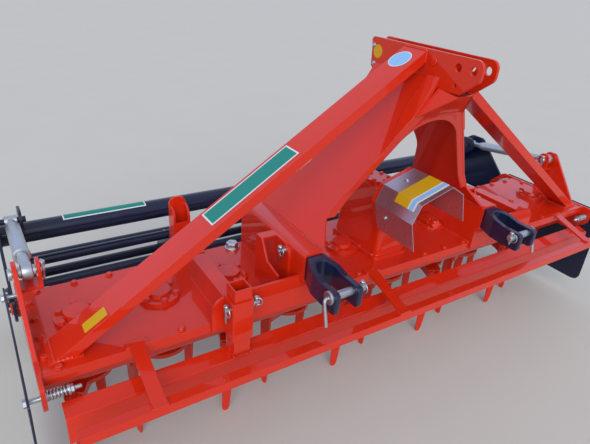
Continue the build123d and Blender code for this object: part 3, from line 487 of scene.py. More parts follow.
@dataclass(frozen=True)
class Finish:
    """A surface finish with its small-scale variation.

    The colour drifts between two tones with soft noise, the roughness with a second noise, and a fine noise
    lifts the surface. A rounding of the shading softens every hard edge, as paint and plating do. The coat
    is a weight and a roughness, and the roughness a lowest and a highest value.
    """

    name: str
    colour: Triple
    tone: Triple
    rough: Pair = (0.3, 0.4)
    coat: Pair = (0.0, 0.06)
    metallic: float = 0.0
    specular: float = 0.5
    cloud_scale: float = 5.0
    grain_scale: float = 260.0
    grain_lift: float = 0.05
    grain_depth: float = 0.001
    edge: float = 0.002
    edge_samples: int = 6
    noise_span: Pair = (0.3, 0.7)
    noise_details: Triple = (3.0, 5.0, 2.0)
    rough_scale: float = 4.0

    def material(self) -> bpy.types.Material:
        """The finish's material, made once.

        Returns:
            The material.
        """
        known = bpy.data.materials.get(self.name)
        if known is not None:
            return known
        made = bpy.data.materials.new(self.name)
        made.use_nodes = True
        nodes = made.node_tree.nodes
        place = nodes.new("ShaderNodeTexCoord").outputs["Object"]
        scales = (self.cloud_scale, self.cloud_scale * self.rough_scale, self.grain_scale)
        noises = [wired(nodes.new("ShaderNodeTexNoise"), {"Scale": scale, "Detail": detail, "Vector": place})
                  for scale, detail in zip(scales, self.noise_details)]
        cloud, patch, grain = (noise.outputs["Fac"] for noise in noises)
        blend = nodes.new("ShaderNodeMix")
        blend.data_type = "RGBA"
        wired(blend, {"A": (*self.colour, 1.0), "B": (*self.tone, 1.0), "Factor": cloud})
        limits = zip(("From Min", "From Max", "To Min", "To Max"), (*self.noise_span, *self.rough))
        spread = wired(nodes.new("ShaderNodeMapRange"), {**dict(limits), "Value": patch})
        soft = wired(nodes.new("ShaderNodeBevel"), {"Radius": self.edge})
        soft.samples = self.edge_samples
        lift = wired(nodes.new("ShaderNodeBump"), {
            "Strength": self.grain_lift, "Distance": self.grain_depth, "Height": grain,
            "Normal": soft.outputs["Normal"],
        }).outputs["Normal"]
        wired(nodes["Principled BSDF"], {
            "Metallic": self.metallic, "Specular IOR Level": self.specular, "Coat Weight": self.coat[0],
            "Coat Roughness": self.coat[1], "Base Color": blend.outputs["Result"],
            "Roughness": spread.outputs["Result"], "Normal": lift, "Coat Normal": lift,
        })
        return made


def film(name: str, colour: Triple, tone: Triple, specular: float) -> Finish:
    """Finish of a printed film: fairly smooth, with a thin coat and nearly no edge."""
    return Finish(name, colour, tone, (0.35, 0.45), (0.2, 0.06), specular=specular, grain_lift=0.01,
                  edge=0.0002)


RED_PAINT = Finish("red_enamel", (0.66, 0.024, 0.004), (0.59, 0.020, 0.004), (0.30, 0.42), (0.75, 0.04),
                   specular=0.1, cloud_scale=3.0, grain_scale=150.0, grain_lift=0.012)
NAVY_PAINT = Finish("navy_enamel", (0.0050, 0.0095, 0.034), (0.0065, 0.0120, 0.042), (0.28, 0.38),
                    (0.5, 0.12), specular=0.25, cloud_scale=3.0, grain_scale=150.0, grain_lift=0.015)
CAST_NAVY = Finish("navy_on_casting", (0.0060, 0.0110, 0.040), (0.0080, 0.0140, 0.050), (0.28, 0.40),
                   (0.6, 0.10), specular=0.3, cloud_scale=9.0, grain_scale=220.0, grain_lift=0.06, edge=0.007)
ZINC_PLATE = Finish("zinc_plate", (0.56, 0.60, 0.64), (0.42, 0.46, 0.50), (0.30, 0.45), metallic=1.0,
                    cloud_scale=30.0, grain_scale=500.0, grain_lift=0.04, edge=0.001)
BRIGHT_STEEL = Finish("bright_steel", (0.52, 0.57, 0.62), (0.44, 0.49, 0.54), (0.34, 0.44), metallic=0.85,
                      cloud_scale=24.0, grain_scale=600.0, grain_lift=0.02, edge=0.001)
GALVANISED = Finish("hood_metal", (0.56, 0.50, 0.60), (0.50, 0.44, 0.54), (0.26, 0.31), metallic=0.9,
                    grain_scale=40.0, grain_lift=0.002, edge=0.001)
GEAR_STEEL = Finish("gear_steel", (0.20, 0.20, 0.21), (0.14, 0.14, 0.15), (0.4, 0.6), metallic=1.0)
FLOOR_PAINT = Finish("pale_floor", (0.59, 0.585, 0.53), (0.56, 0.555, 0.50), (0.85, 0.95), specular=0.15,
                     cloud_scale=2.0, grain_lift=0.005)
WHITE_FILM = film("white_film", (0.66, 0.74, 0.76), (0.60, 0.68, 0.71), 0.3)
GREEN_FILM = film("green_film", (0.003, 0.235, 0.185), (0.003, 0.205, 0.165), 0.25)
YELLOW_FILM = film("yellow_film", (0.62, 0.37, 0.006), (0.56, 0.33, 0.005), 0.25)
SKY_FILM = film("sky_film", (0.26, 0.52, 0.82), (0.23, 0.47, 0.77), 0.3)


def smooth_shading(merge_distance: float = 1e-5) -> bpy.types.NodeTree:
    """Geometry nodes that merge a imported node's loose triangles and smooth them between sharp edges.

    Args:
        merge_distance: how near two corners count as one.

    Returns:
        The node group.
    """
    group = bpy.data.node_groups.new("crisp_shading", "GeometryNodeTree")
    for way in ("INPUT", "OUTPUT"):
        group.interface.new_socket("Geometry", in_out=way, socket_type="NodeSocketGeometry")
    nodes = group.nodes
    angle = nodes.new("GeometryNodeInputMeshEdgeAngle")
    over = nodes.new("FunctionNodeCompare")
    over.operation = "GREATER_THAN"
    wired(over, {"A": angle.outputs["Unsigned Angle"], "B": SHARP_ANGLE})
    merge = wired(nodes.new("GeometryNodeMergeByDistance"), {
        "Geometry": nodes.new("NodeGroupInput").outputs[0], "Distance": merge_distance})
    faces = wired(nodes.new("GeometryNodeSetShadeSmooth"), {
        "Geometry": merge.outputs["Geometry"], "Shade Smooth": True})
    faces.domain = "FACE"
    edges = wired(nodes.new("GeometryNodeSetShadeSmooth"), {
        "Geometry": faces.outputs["Geometry"], "Selection": over.outputs["Result"], "Shade Smooth": False})
    edges.domain = "EDGE"
    wired(nodes.new("NodeGroupOutput"), {"Geometry": edges.outputs["Geometry"]})
    return group


@dataclass
class FrameFinishes:
    """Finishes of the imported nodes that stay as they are: one for each slot, and two for single parts."""

    by_slot: dict[Slot, Finish] = field(default_factory=lambda: {
        Slot.RED: RED_PAINT, Slot.NAVY: NAVY_PAINT, Slot.ZINC: ZINC_PLATE, Slot.HOOD: GALVANISED,
        Slot.GEAR: GEAR_STEEL,
    })
    cast: str = "fork"
    bright: str = "link_barrel"

    def finish(self, name: str, slot: Slot) -> Finish:
        """The finish of a node.

        Args:
            name: name of the node.
            slot: its slot in the record.

        Returns:
            The finish.
        """
        if name.startswith(self.bright):
            return BRIGHT_STEEL
        if self.cast in name and slot is Slot.NAVY:
            return CAST_NAVY
        return self.by_slot[slot]

    def dress(self) -> None:
        """Gives every node its finish and its smooth shading."""
        group = smooth_shading()
        slots = {part["node"]: part["material_slot"] for part in frame["record"]["subparts"]}
        for name, node in frame["nodes"].items():
            finish = self.finish(name, Slot(slots.get(name, Slot.RED.value)))
            node.data.materials.clear()
            node.data.materials.append(finish.material())
            node.modifiers.new("crisp_shading", "NODES").node_group = group
            LOG.info("%s: %s", name, finish.name)


# Parts of the machine


@dataclass(frozen=True)
class Rotor:
    """One rotor of the row, with the turn of its tines in degrees. Its neighbours turn the other way, with
    their tines a quarter turn apart."""

    index: int
    turn: float = 24.0

    @property
    def word(self) -> str:
        """Its number as the nodes and the bodies carry it."""
        return f"{self.index + 1:02d}"

    @property
    def hand(self) -> int:
        """Sign of the way it turns."""
        return -1 if self.index % 2 else 1

    @property
    def x(self) -> float:
        """Place of its axis."""
        return (self.index - (ROTOR_COUNT - 1) / 2) * ROTOR_PITCH

    def ways(self) -> list[Pair]:
        """Cosine and sine of the angle at which each of its two tines stands."""
        first = math.radians(-self.turn if self.hand > 0 else self.turn - 90.0)
        return [(math.cos(first + half), math.sin(first + half)) for half in (0.0, math.pi)]


ROTORS = tuple(Rotor(index) for index in range(ROTOR_COUNT))


@dataclass
class Tines:
    """Forged tines: a rectangular shank that thins toward a narrow tip, straight on one edge."""

    reach: float = 0.128
    shoulder: float = 0.278
    heights: tuple[float, ...] = (0.338, 0.278, 0.20, 0.12, 0.06, 0.022, 0.006, 0.0)
    blunting: tuple[float, ...] = (1.0, 1.0, 1.0, 1.0, 1.0, 1.0, 0.86, 0.55)
    width: float = 0.042
    thick: float = 0.014
    tip_width: float = 0.023
    tip_thick: float = 0.008
    bulge: float = 0.62
    corner: float = 0.0025

    def blade(self, lead: int) -> Array:
        """Grid of one blade: a rectangle with cut corners at each height. Its thickness falls evenly from the
        shoulder to the tip, its width as a power of the height, and the last rows draw in to a blunt point.

        Args:
            lead: sign of the straight edge.

        Returns:
            Grid of points round the Z axis.
        """
        height = np.array(self.heights)
        fall = np.clip(height / self.shoulder, 0.0, 1.0)
        wide = self.tip_width + (self.width - self.tip_width) * fall ** self.bulge
        thin = self.tip_thick + (self.thick - self.tip_thick) * fall
        close = np.array(self.blunting)[:, None]
        across = np.array((-1, -1, 1, 1, 1, 1, -1, -1))
        along = np.array((-1, -1, -1, -1, 1, 1, 1, 1))
        cut = self.corner * np.array((0, 1, 1, 0, 0, 1, 1, 0))
        x = across * (wide[:, None] / 2 - cut) * close + lead * (self.width - wide)[:, None] / 2
        y = along * (thin[:, None] / 2 - (self.corner - cut)) * close + self.reach
        return closed_ends(joined(x, y, height[:, None]))

    def build(self) -> None:
        """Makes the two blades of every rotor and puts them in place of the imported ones."""
        for rotor in ROTORS:
            blade = self.blade(rotor.hand)
            skin = Skin()
            for c, s in rotor.ways():
                spin = np.array(((c, s, 0.0), (-s, c, 0.0), UP))
                skin.grid(blade @ spin + (rotor.x, row(0.0), 0.0))
            piece = skin.build(f"forged_tines_{rotor.word}", RED_PAINT, f"rotor_{rotor.word}", Slot.RED)
            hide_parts(f"tines_{rotor.word}")


@dataclass
class TineBolts:
    """Bolts that clamp the tines: two low heads, each on its spring washer, on each socket's outer face."""

    face: float = 0.146
    height: float = 0.335
    spread: float = 0.014
    head: tuple[Pair, ...] = ((0.0, 0.0), (0.01176, 0.0), (0.01176, 0.0016), (0.0105, 0.0018),
                              (0.0105, 0.0052), (0.00882, 0.0064), (0.0, 0.0064))

    def build(self) -> None:
        """Makes the heads of every rotor, which turn with it."""
        for rotor in ROTORS:
            skin = Skin()
            for c, s in rotor.ways():
                for across in (-self.spread, self.spread):
                    x, y = c * across - s * self.face, s * across + c * self.face
                    skin.turned(self.head, (x + rotor.x, row(y), self.height), (-s, c, 0.0), HEXAGON)
            skin.build(f"tine_bolts_{rotor.word}", RED_PAINT, f"rotor_{rotor.word}", Slot.RED)


@dataclass
class CoverBolts:
    """Hexagon bolts along the cover's edges and on the bearing housings."""

    front: float = -0.196
    rear: float = 0.184
    spacing: float = 0.113
    first: float = 0.045
    end_inset: float = 0.018
    end_rows: tuple[float, float, int] = (-0.14, 0.13, 4)
    flats: float = 0.0095
    height: float = 0.0075
    crown: Pair = (0.82, 0.22)
    washer: Pair = (1.45, 0.0016)
    ring: float = 0.055
    ring_top: float = 0.526
    ring_count: int = 6
    clearance: float = 1.6
    standing: tuple[str, ...] = ("gearbox", "hitch_box_left", "hitch_box_right", "post_beam",
                                 "post_beam_right", "rear_hook_left", "rear_hook_right")
    stay_foot: tuple[Pair, Pair] = ((1.03, 1.18), (-0.205, -0.055))
    strap_foot: Pair = (0.045, -0.17)

    def head(self) -> Array:
        """Grid of one bolt head: a profile with a chamfered crown, turned in six steps.

        Returns:
            Grid of points round the Z axis.
        """
        r, h = self.flats / math.cos(math.pi / 6), self.height
        profile = button(r, h, r * self.crown[0], h * self.crown[1])
        return lathe(profile, (0.0, 0.0, self.washer[1]), UP, HEXAGON)

    def free(self, places: Array) -> Array:
        """Places that nothing on the cover stands over.

        Args:
            places: (k, 3) points.

        Returns:
            The points outside the boxes of what is welded or bolted on.
        """
        margin = self.flats * self.clearance
        boxes = [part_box(name) for name in self.standing]
        spans = [(low.x - margin, high.x + margin, low.y - margin, high.y + margin) for low, high in boxes]
        (x0, x1), (y0, y1) = self.stay_foot
        spans += [(x0, x1, row(y0), row(y1)), (-x1, -x0, row(y0), row(y1))]
        half, back = self.strap_foot
        spans += [(x - half, x + half, -math.inf, row(back)) for x in STRAPS]
        low_x, high_x, low_y, high_y = np.array(spans).T
        x, y = places[:, 0:1], places[:, 1:2]
        return places[~((x > low_x) & (x < high_x) & (y > low_y) & (y < high_y)).any(axis=1)]

    def build(self) -> None:
        """Makes the rows of heads along the edges and the rings on the housings, each head on its washer."""
        x = np.arange(-END_WALL + self.first, END_WALL, self.spacing)
        edges = [joined(x, row(y), COVER_TOP) for y in (self.front, self.rear)]
        y = row(np.linspace(*self.end_rows))
        ends = [joined(side.value * (END_WALL - self.end_inset), y, COVER_TOP) for side in Side]
        angle = around(self.ring_count) + RING_START
        axes = np.array([[rotor.x] for rotor in ROTORS])
        rings = joined(axes + self.ring * np.cos(angle), row(self.ring * np.sin(angle)), self.ring_top)
        places = self.free(np.concatenate((*edges, *ends, rings.reshape(-1, 3))))
        washer = lathe(button(self.flats * self.washer[0], self.washer[1]), (0.0, 0.0, 0.0), UP, sides=16)
        skin = Skin()
        skin.copies(washer, places)
        skin.copies(self.head(), places)
        skin.build("cover_bolts", RED_PAINT, "frame", Slot.RED)


@dataclass(frozen=True)
class LynchPin:
    """Lynch pin: a tapered pin under a round head, with a sprung ring through the head that hangs aslant."""

    radius: float = 0.0045
    length: float = 0.040
    point: Pair = (0.6, 0.8)
    head: Pair = (0.008, 0.012)
    crown: float = 0.8
    ring: float = 0.020
    wire: float = 0.0021
    fold: Pair = (0.5, -0.866)
    eye: float = 0.5

    def add(self, skin: Skin, place: Point, lean: Point) -> None:
        """Adds one, standing on a point with its ring folded toward a level direction.

        Args:
            skin: where the surfaces go.
            place: point that the head stands on.
            lean: level unit direction of the ring.
        """
        r, h = self.head
        shank = [(0.0, -self.length), (self.radius * self.point[0], -self.length),
                 (self.radius, -self.length * self.point[1]), (self.radius, 0.0)]
        head = [(r, 0.0), (r, h * self.crown), (r * self.crown, h), (0.0, h)]
        skin.turned(shank + head, place, UP, sides=16)
        level, sink = self.fold
        way = np.array((lean[0] * level, lean[1] * level, sink))
        centre = np.asarray(place, float) + way * self.ring + (0.0, 0.0, h * self.eye)
        side = np.cross(way, (-lean[1], lean[0], 0.0))
        skin.grid(torus(centre, way, side, self.ring, self.wire), wrap_rows=True)


@dataclass
class Deflectors:
    """Side plates on two sprung bolts each: plate with softened corners, bolt head outside, and inside the
    end plate a coil spring, a washer and a nut on the bolt's thread."""

    inner: float = 1.296
    thick: float = 0.006
    front: float = -0.300
    back: float = 0.160
    tab: float = 0.258
    low: float = 0.100
    shoulder: float = 0.466
    top: float = 0.512
    corner: float = 0.046
    square: float = 0.003
    lean: float = 0.0085
    places: tuple[Pair, ...] = ((-0.237, 0.468), (0.232, 0.488))
    bolt: float = 0.0068
    reach: float = 0.088
    point: Pair = (0.8, 0.002)
    thread: float = 0.036
    pitch: float = 0.001
    groove: float = 0.0008
    head: tuple[Pair, ...] = ((0.0, 0.0), (0.01125, 0.0), (0.0125, 0.001), (0.0125, 0.0085),
                              (0.011, 0.0095), (0.0, 0.0095))
    washer: Pair = (0.0165, 0.0025)
    nut_back: float = 0.0125
    spring: float = 0.056
    coil_radius: float = 0.0118
    wire: float = 0.0026
    turns: float = 8.5

    def plate(self, side: Side) -> bpy.types.Object:
        """The steel plate of a side, leaning out by a share that grows from its shoulder to its foot.

        Args:
            side: left or right.

        Returns:
            The new object.
        """
        front, back, tab = row(self.front), row(self.back), row(self.tab)
        corners = np.array(((front, self.top), (front, self.low), (back, self.low), (back, self.shoulder),
                            (tab, self.shoulder), (tab, self.top)))
        radii = np.array((self.corner / 2, self.corner, self.corner, self.square, self.square, self.square))
        depths = sorted((side.value * self.inner, side.value * (self.inner + self.thick)))
        skin = Skin().plate(rounded(corners, radii, steps=7), *depths)
        for points in skin.points:
            share = np.clip((self.shoulder - points[:, 2]) / (self.shoulder - self.low), 0, 1)
            points[:, 0] += side.value * self.lean * share
        return skin.build(f"deflector_plate_{side.word}", NAVY_PAINT, "frame", Slot.NAVY)

    def fixings(self, side: Side) -> bpy.types.Object:
        """Bolts of a side with their threads, heads, nuts, washers and springs.

        Args:
            side: left or right.

        Returns:
            The new object.
        """
        skin = Skin()
        r, outside, end = self.bolt, self.inner + self.thick, END_WALL - self.spring
        shank = outside - END_WALL + self.reach
        steps = np.arange(self.point[1], self.thread, self.pitch)
        thread = np.stack((r - self.groove * (np.arange(len(steps)) % 2), steps), axis=1)
        stem = [(0.0, 0.0), (r * self.point[0], 0.0), *thread, (r, self.thread), (r, shank), (0.0, shank)]
        rim, flat = self.washer
        washer = [(r, 0.0), (rim, 0.0), (rim, flat), (r, flat), (r, 0.0)]
        for y, z in self.places:
            skin.turned(stem, side.at(END_WALL - self.reach, y, z), side.out, sides=16)
            skin.turned(self.head, side.at(outside, y, z), side.out, HEXAGON)
            skin.turned(washer, side.at(end - flat, y, z), side.out)
            skin.turned(self.head, side.at(end - self.nut_back, y, z), side.out, HEXAGON)
            line = coil(side.at(end, y, z), side.out, self.coil_radius, self.spring, self.turns)
            skin.wire(line, self.wire, side.out)
        return skin.build(f"spring_bolts_{side.word}", ZINC_PLATE, "frame", Slot.ZINC)

    def build(self) -> None:
        """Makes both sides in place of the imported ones."""
        for side in Side:
            plate = self.plate(side)
            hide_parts(f"deflector_{side.word}")
            self.fixings(side)


@dataclass
class HitchPins:
    """Lower hitch pins: plated, a collar and a bent handle outside the fork, and a lynch pin inside it."""

    x: float = 0.436
    y: float = -0.400
    z: float = 0.637
    radius: float = 0.0137
    fork: float = 0.053
    tail: float = 0.026
    point: tuple[Pair, ...] = ((0.0, 0.0), (0.55, 0.0), (0.9, 0.003), (1.0, 0.007))
    play: float = 0.0003
    collar: float = 0.022
    collar_t: float = 0.0078
    chamfer: float = 0.0015
    handle: float = 0.0055
    handle_root: float = 0.004
    handle_run: float = 0.006
    handle_way: Triple = (0.0, -0.26, -0.9656)
    handle_side: Triple = (0.0, 1.0, 0.2)
    drop: float = 0.078
    bend: float = 0.010
    lynch: LynchPin = LynchPin(ring=0.0172)
    lynch_in: float = 0.010
    seat: float = 0.94

    def build(self) -> None:
        """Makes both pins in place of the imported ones."""
        r, long = self.radius, 2 * self.fork + self.tail
        face = long + self.collar_t
        foot, edge = long + self.play, self.chamfer
        collar = [(self.collar, foot), (self.collar, face - edge), (self.collar - edge, face), (0.0, face)]
        profile = [(r * share, depth) for share, depth in self.point] + [(r, foot)] + collar
        start = self.x - self.fork - self.tail
        for side in Side:
            skin = Skin().turned(profile, side.at(start, self.y, self.z), side.out, sides=32)
            root = side.at(start + face - self.handle_root, self.y, self.z)
            line = bent(root, side.out, self.handle_way, (self.handle_run, self.drop), self.bend)
            skin.wire(line, self.handle, self.handle_side, sides=10)
            self.lynch.add(skin, side.at(start + self.lynch_in, self.y, self.z + r * self.seat), FORWARD)
            piece = skin.build(f"plated_hitch_pin_{side.word}", ZINC_PLATE, "frame", Slot.ZINC)
            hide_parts(f"hitch_pin_{side.word}")


@dataclass
class LinkForks:
    """Inner rods of the depth links: forged eye between spacers, the rod, and the pin with its head and
    ring, and the collar at the barrel's mouth. The profiles are rows of (radius, height) from the eye's
    middle or the pin's inner end, and the eye's is its first half."""

    x: float = 1.233
    y: float = 0.030
    z: float = 0.690
    along: Triple = (0.0, 0.98953, -0.14431)
    eye: tuple[Pair, ...] = ((0.011, -0.022), (0.0165, -0.022), (0.0165, -0.015), (0.021, -0.015),
                             (0.024, -0.013), (0.025, -0.009))
    rod: tuple[Pair, ...] = ((0.0, 0.012), (0.0129, 0.018), (0.0129, 0.032), (0.015, 0.040), (0.015, 0.260),
                             (0.0, 0.260))
    pin: tuple[Pair, ...] = ((0.0, 0.0), (0.0088, 0.0), (0.011, 0.002), (0.011, 0.084), (0.01705, 0.084),
                             (0.01705, 0.0925), (0.0154, 0.094), (0.0, 0.094))
    pin_in: float = 1.187
    lynch: LynchPin = LynchPin(length=0.048, head=(0.009, 0.014), ring=0.021, wire=0.0024)
    lynch_out: float = 0.006
    lynch_up: float = 0.01034
    collar: tuple[Pair, ...] = ((0.0158, 0.1185), (0.0222, 0.1185), (0.0254, 0.1215), (0.0254, 0.1375),
                                (0.0232, 0.1395), (0.0158, 0.1395), (0.0158, 0.1185))

    def build(self) -> None:
        """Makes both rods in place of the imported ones, and the collars on the barrels."""
        eye = self.eye + tuple((radius, -height) for radius, height in reversed(self.eye))
        for side in Side:
            centre = side.at(self.x, self.y, self.z)
            skin = Skin().turned(eye, centre, side.out, sides=36)
            skin.turned(self.rod, centre, self.along, sides=32)
            skin.turned(self.pin, side.at(self.pin_in, self.y, self.z), side.out, sides=28)
            top = side.at(self.pin_in + self.lynch_out, self.y, self.z + self.lynch_up)
            self.lynch.add(skin, top, REARWARD)
            fork = f"link_fork_{side.word}"
            piece = skin.build(f"forged_link_rod_{side.word}", BRIGHT_STEEL, fork, Slot.ZINC)
            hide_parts(fork)
            ring = Skin().turned(self.collar, centre, self.along, sides=36)
            ring.build(f"barrel_collar_{side.word}", BRIGHT_STEEL, f"link_barrel_{side.word}", Slot.ZINC)


@dataclass
class InputShaft:
    """Six-splined shaft end: a round section whose radius steps between root and tip six times round, with a
    lock groove near its end and a plain journal at its seal. A station is a depth, a radius and the splines'
    share."""

    front: float = -0.334
    stations: tuple[Triple, ...] = (
        (0.0, 0.0146, 1.0), (0.0025, 0.01745, 1.0), (0.016, 0.01745, 1.0), (0.0175, 0.0146, 0.0),
        (0.0245, 0.0146, 0.0), (0.026, 0.01745, 1.0), (0.082, 0.01745, 1.0), (0.096, 0.01745, 0.0),
        (0.148, 0.01745, 0.0), (0.148, 0.022, 0.0), (0.208, 0.022, 0.0))
    root: float = 0.0148
    splines: int = 6
    steep: float = 9.0
    steps: int = 96

    def build(self) -> None:
        """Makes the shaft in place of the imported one. The splines' share is a steep S of a cosine."""
        depth, plain, toothed = np.array(self.stations).T[:, :, None]
        angle = around(self.steps)
        gap = 1 - 1 / (1 + np.exp(-self.steep * np.cos(self.splines * angle)))
        radius = plain - toothed * (plain - np.minimum(plain, self.root)) * gap
        grid = joined(radius * np.cos(angle), row(self.front) + depth, SHAFT_Z + radius * np.sin(angle))
        piece = Skin().grid(closed_ends(grid)).build("splined_shaft", RED_PAINT, "input_shaft", Slot.RED)
        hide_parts("input_shaft")


def rolled(x: float | Array, z: float | Array) -> tuple[float | Array, float | Array]:
    """Place across and above the input shaft, turned about it by the hood's roll."""
    c, s = math.cos(HOOD_ROLL), math.sin(HOOD_ROLL)
    return x * c - z * s, x * s + z * c


@dataclass
class Labels:
    """Blank coloured labels, each a thin sheet, some with a pale border sheet below. On the stay, a span is
    a share of its run and then a depth. The two round labels are a place and a radius."""

    thick: float = 0.0003
    edge: float = 0.0055
    rim: float = 0.0035
    flat_steps: int = 3
    tube_steps: int = 13
    stay_head: Triple = (-BRACKET_FACE, 0.0, 1.296)
    stay_run: Triple = (-1.183, 0.0, -0.774)
    panel: tuple[Pair, Pair] = ((0.373, 0.611), (-0.1625, -0.0885))
    foot: tuple[Pair, Pair] = ((0.874, 0.927), (-0.1685, -0.1285))
    badge: Triple = (0.0455, -0.121, 0.039)
    number: Triple = (0.047, 1.256, 0.0225)
    tube: tuple[Pair, Pair] = ((-1.045, -0.706), (64.0, 124.0))
    crown: Pair = (0.0712, 0.1265)
    shoulder: Pair = (0.1197, 0.0735)
    lap: float = 0.46
    hood_rows: tuple[Pair, ...] = ((-0.3275, -0.2345), (-0.3275, -0.2975), (-0.3215, -0.3035))

    @property
    def stay_long(self) -> float:
        """Length of the stay's run."""
        return math.hypot(self.stay_run[0], self.stay_run[2])

    @staticmethod
    def round_spots(radius: float) -> tuple[Array, Array]:
        """Two coordinates of a disc's points: shares of its radius by angles.

        Args:
            radius: radius of the disc.

        Returns:
            The two coordinates, each with rows outward and columns round.
        """
        hole, rings, steps = 0.02, 4, 41
        angle = np.linspace(0.0, 2 * math.pi, steps)[None]
        reach = radius * np.linspace(hole, 1.0, rings)[:, None]
        return reach * np.cos(angle), reach * np.sin(angle)

    def on_stay(self, share: Array, y: Array, lift: float) -> Array:
        """Points on the stay's upper face: its head plus a share of its run, lifted along the face's normal.

        Args:
            share: shares of the run.
            y: depths, of matching shape.
            lift: height over the face.

        Returns:
            The points.
        """
        run_x, _, run_z = self.stay_run
        up_x, up_z = run_z / self.stay_long, -run_x / self.stay_long
        x = self.stay_head[0] + share * run_x + up_x * lift
        return joined(x, row(y), self.stay_head[2] + share * run_z + up_z * lift)

    def patch(self, spans: tuple[Pair, Pair], inset: float, lift: float) -> Array:
        """Four-cornered grid on the stay between two spans.

        Args:
            spans: shares of the run, and depths.
            inset: how far the edges are drawn in.
            lift: height over the face.

        Returns:
            Grid of points.
        """
        (near, far), (front, back) = spans
        shares = np.linspace(near + inset / self.stay_long, far - inset / self.stay_long, self.flat_steps)
        depths = np.linspace(front + inset, back - inset, self.flat_steps)
        return self.on_stay(shares[:, None], depths[None], lift)

    def disc(self, radius: float, lift: float) -> Array:
        """Round grid of a radius on the stay, some height over its upper face."""
        u, v = self.round_spots(radius)
        return self.on_stay(self.badge[0] + u / self.stay_long, self.badge[1] + v, lift)

    def dot(self, radius: float, lift: float) -> Array:
        """Round grid of a radius on the bracket's left side, some height over its outer face."""
        u, v = self.round_spots(radius)
        return joined(-BRACKET_FACE - lift, row(self.number[0]) + u, self.number[1] + v)

    def on_tube(self, inset: float, lift: float) -> Array:
        """Grid round the roller's cross tube: its radius at a span of angles, along a span of its length.

        Args:
            inset: how far the edges are drawn in.
            lift: height over the tube.

        Returns:
            Grid of points.
        """
        (x0, x1), (a0, a1) = self.tube
        x = np.linspace(x0 + inset, x1 - inset, self.flat_steps)[:, None]
        turn = inset / ROLLER_TUBE_RADIUS
        angle = np.linspace(math.radians(a0) + turn, math.radians(a1) - turn, self.tube_steps)[None]
        y, z = ROLLER_TUBE
        r = ROLLER_TUBE_RADIUS + lift
        return joined(x, row(y) + r * np.cos(angle), z + r * np.sin(angle))

    def on_hood(self, span: Pair, lift: float) -> Array:
        """Grid over the hood's crown and part of its left slope: a folded line across, rolled about the
        shaft, at a span of depths.

        Args:
            span: first and last depth.
            lift: height over the sheet.

        Returns:
            Grid of points.
        """
        edge = np.array((-self.crown[0], self.crown[1]))
        low = np.array((-self.shoulder[0], self.shoulder[1]))
        level = (0.0, 1.0)
        across = np.array((edge + (low - edge) * self.lap, edge, (0.0, self.crown[1]), self.crown))
        slope = np.array((low[1] - edge[1], edge[0] - low[0]))
        slope /= np.linalg.norm(slope)
        fold = (slope + level) / np.linalg.norm(slope + level)
        x, z = rolled(*(across + np.array((slope, fold, level, level)) * lift).T[:, :, None])
        return joined(x, row(np.linspace(*span, self.flat_steps)), SHAFT_Z + z)

    def build(self) -> None:
        """Makes every label, from below to above where they lie on each other."""
        t = self.thick
        low, high, top = t, 2 * t, 3 * t
        left = Side.LEFT.out
        plan = [
            ("stay_label_border", WHITE_FILM, "frame", UP, self.patch(self.panel, 0.0, low)),
            ("stay_label", GREEN_FILM, "frame", UP, self.patch(self.panel, self.edge, high)),
            ("foot_label", YELLOW_FILM, "frame", UP, self.patch(self.foot, 0.0, low)),
            ("head_label_border", WHITE_FILM, "frame", UP, self.disc(self.badge[2], low)),
            ("head_label", SKY_FILM, "frame", UP, self.disc(self.badge[2] - self.rim, high)),
            ("round_label", YELLOW_FILM, "frame", left, self.dot(self.number[2], low)),
            ("tube_label_border", WHITE_FILM, "roller_frame", UP, self.on_tube(0.0, low)),
            ("tube_label", GREEN_FILM, "roller_frame", UP, self.on_tube(self.edge, high)),
            ("hood_label", YELLOW_FILM, "frame", UP, self.on_hood(self.hood_rows[0], low)),
            ("hood_label_band", WHITE_FILM, "frame", UP, self.on_hood(self.hood_rows[1], high)),
            ("hood_label_stripe", SKY_FILM, "frame", UP, self.on_hood(self.hood_rows[2], top)),
        ]
        for name, finish, body, out, grid in plan:
            Skin().sheet(grid, t, out).build(name, finish, body)


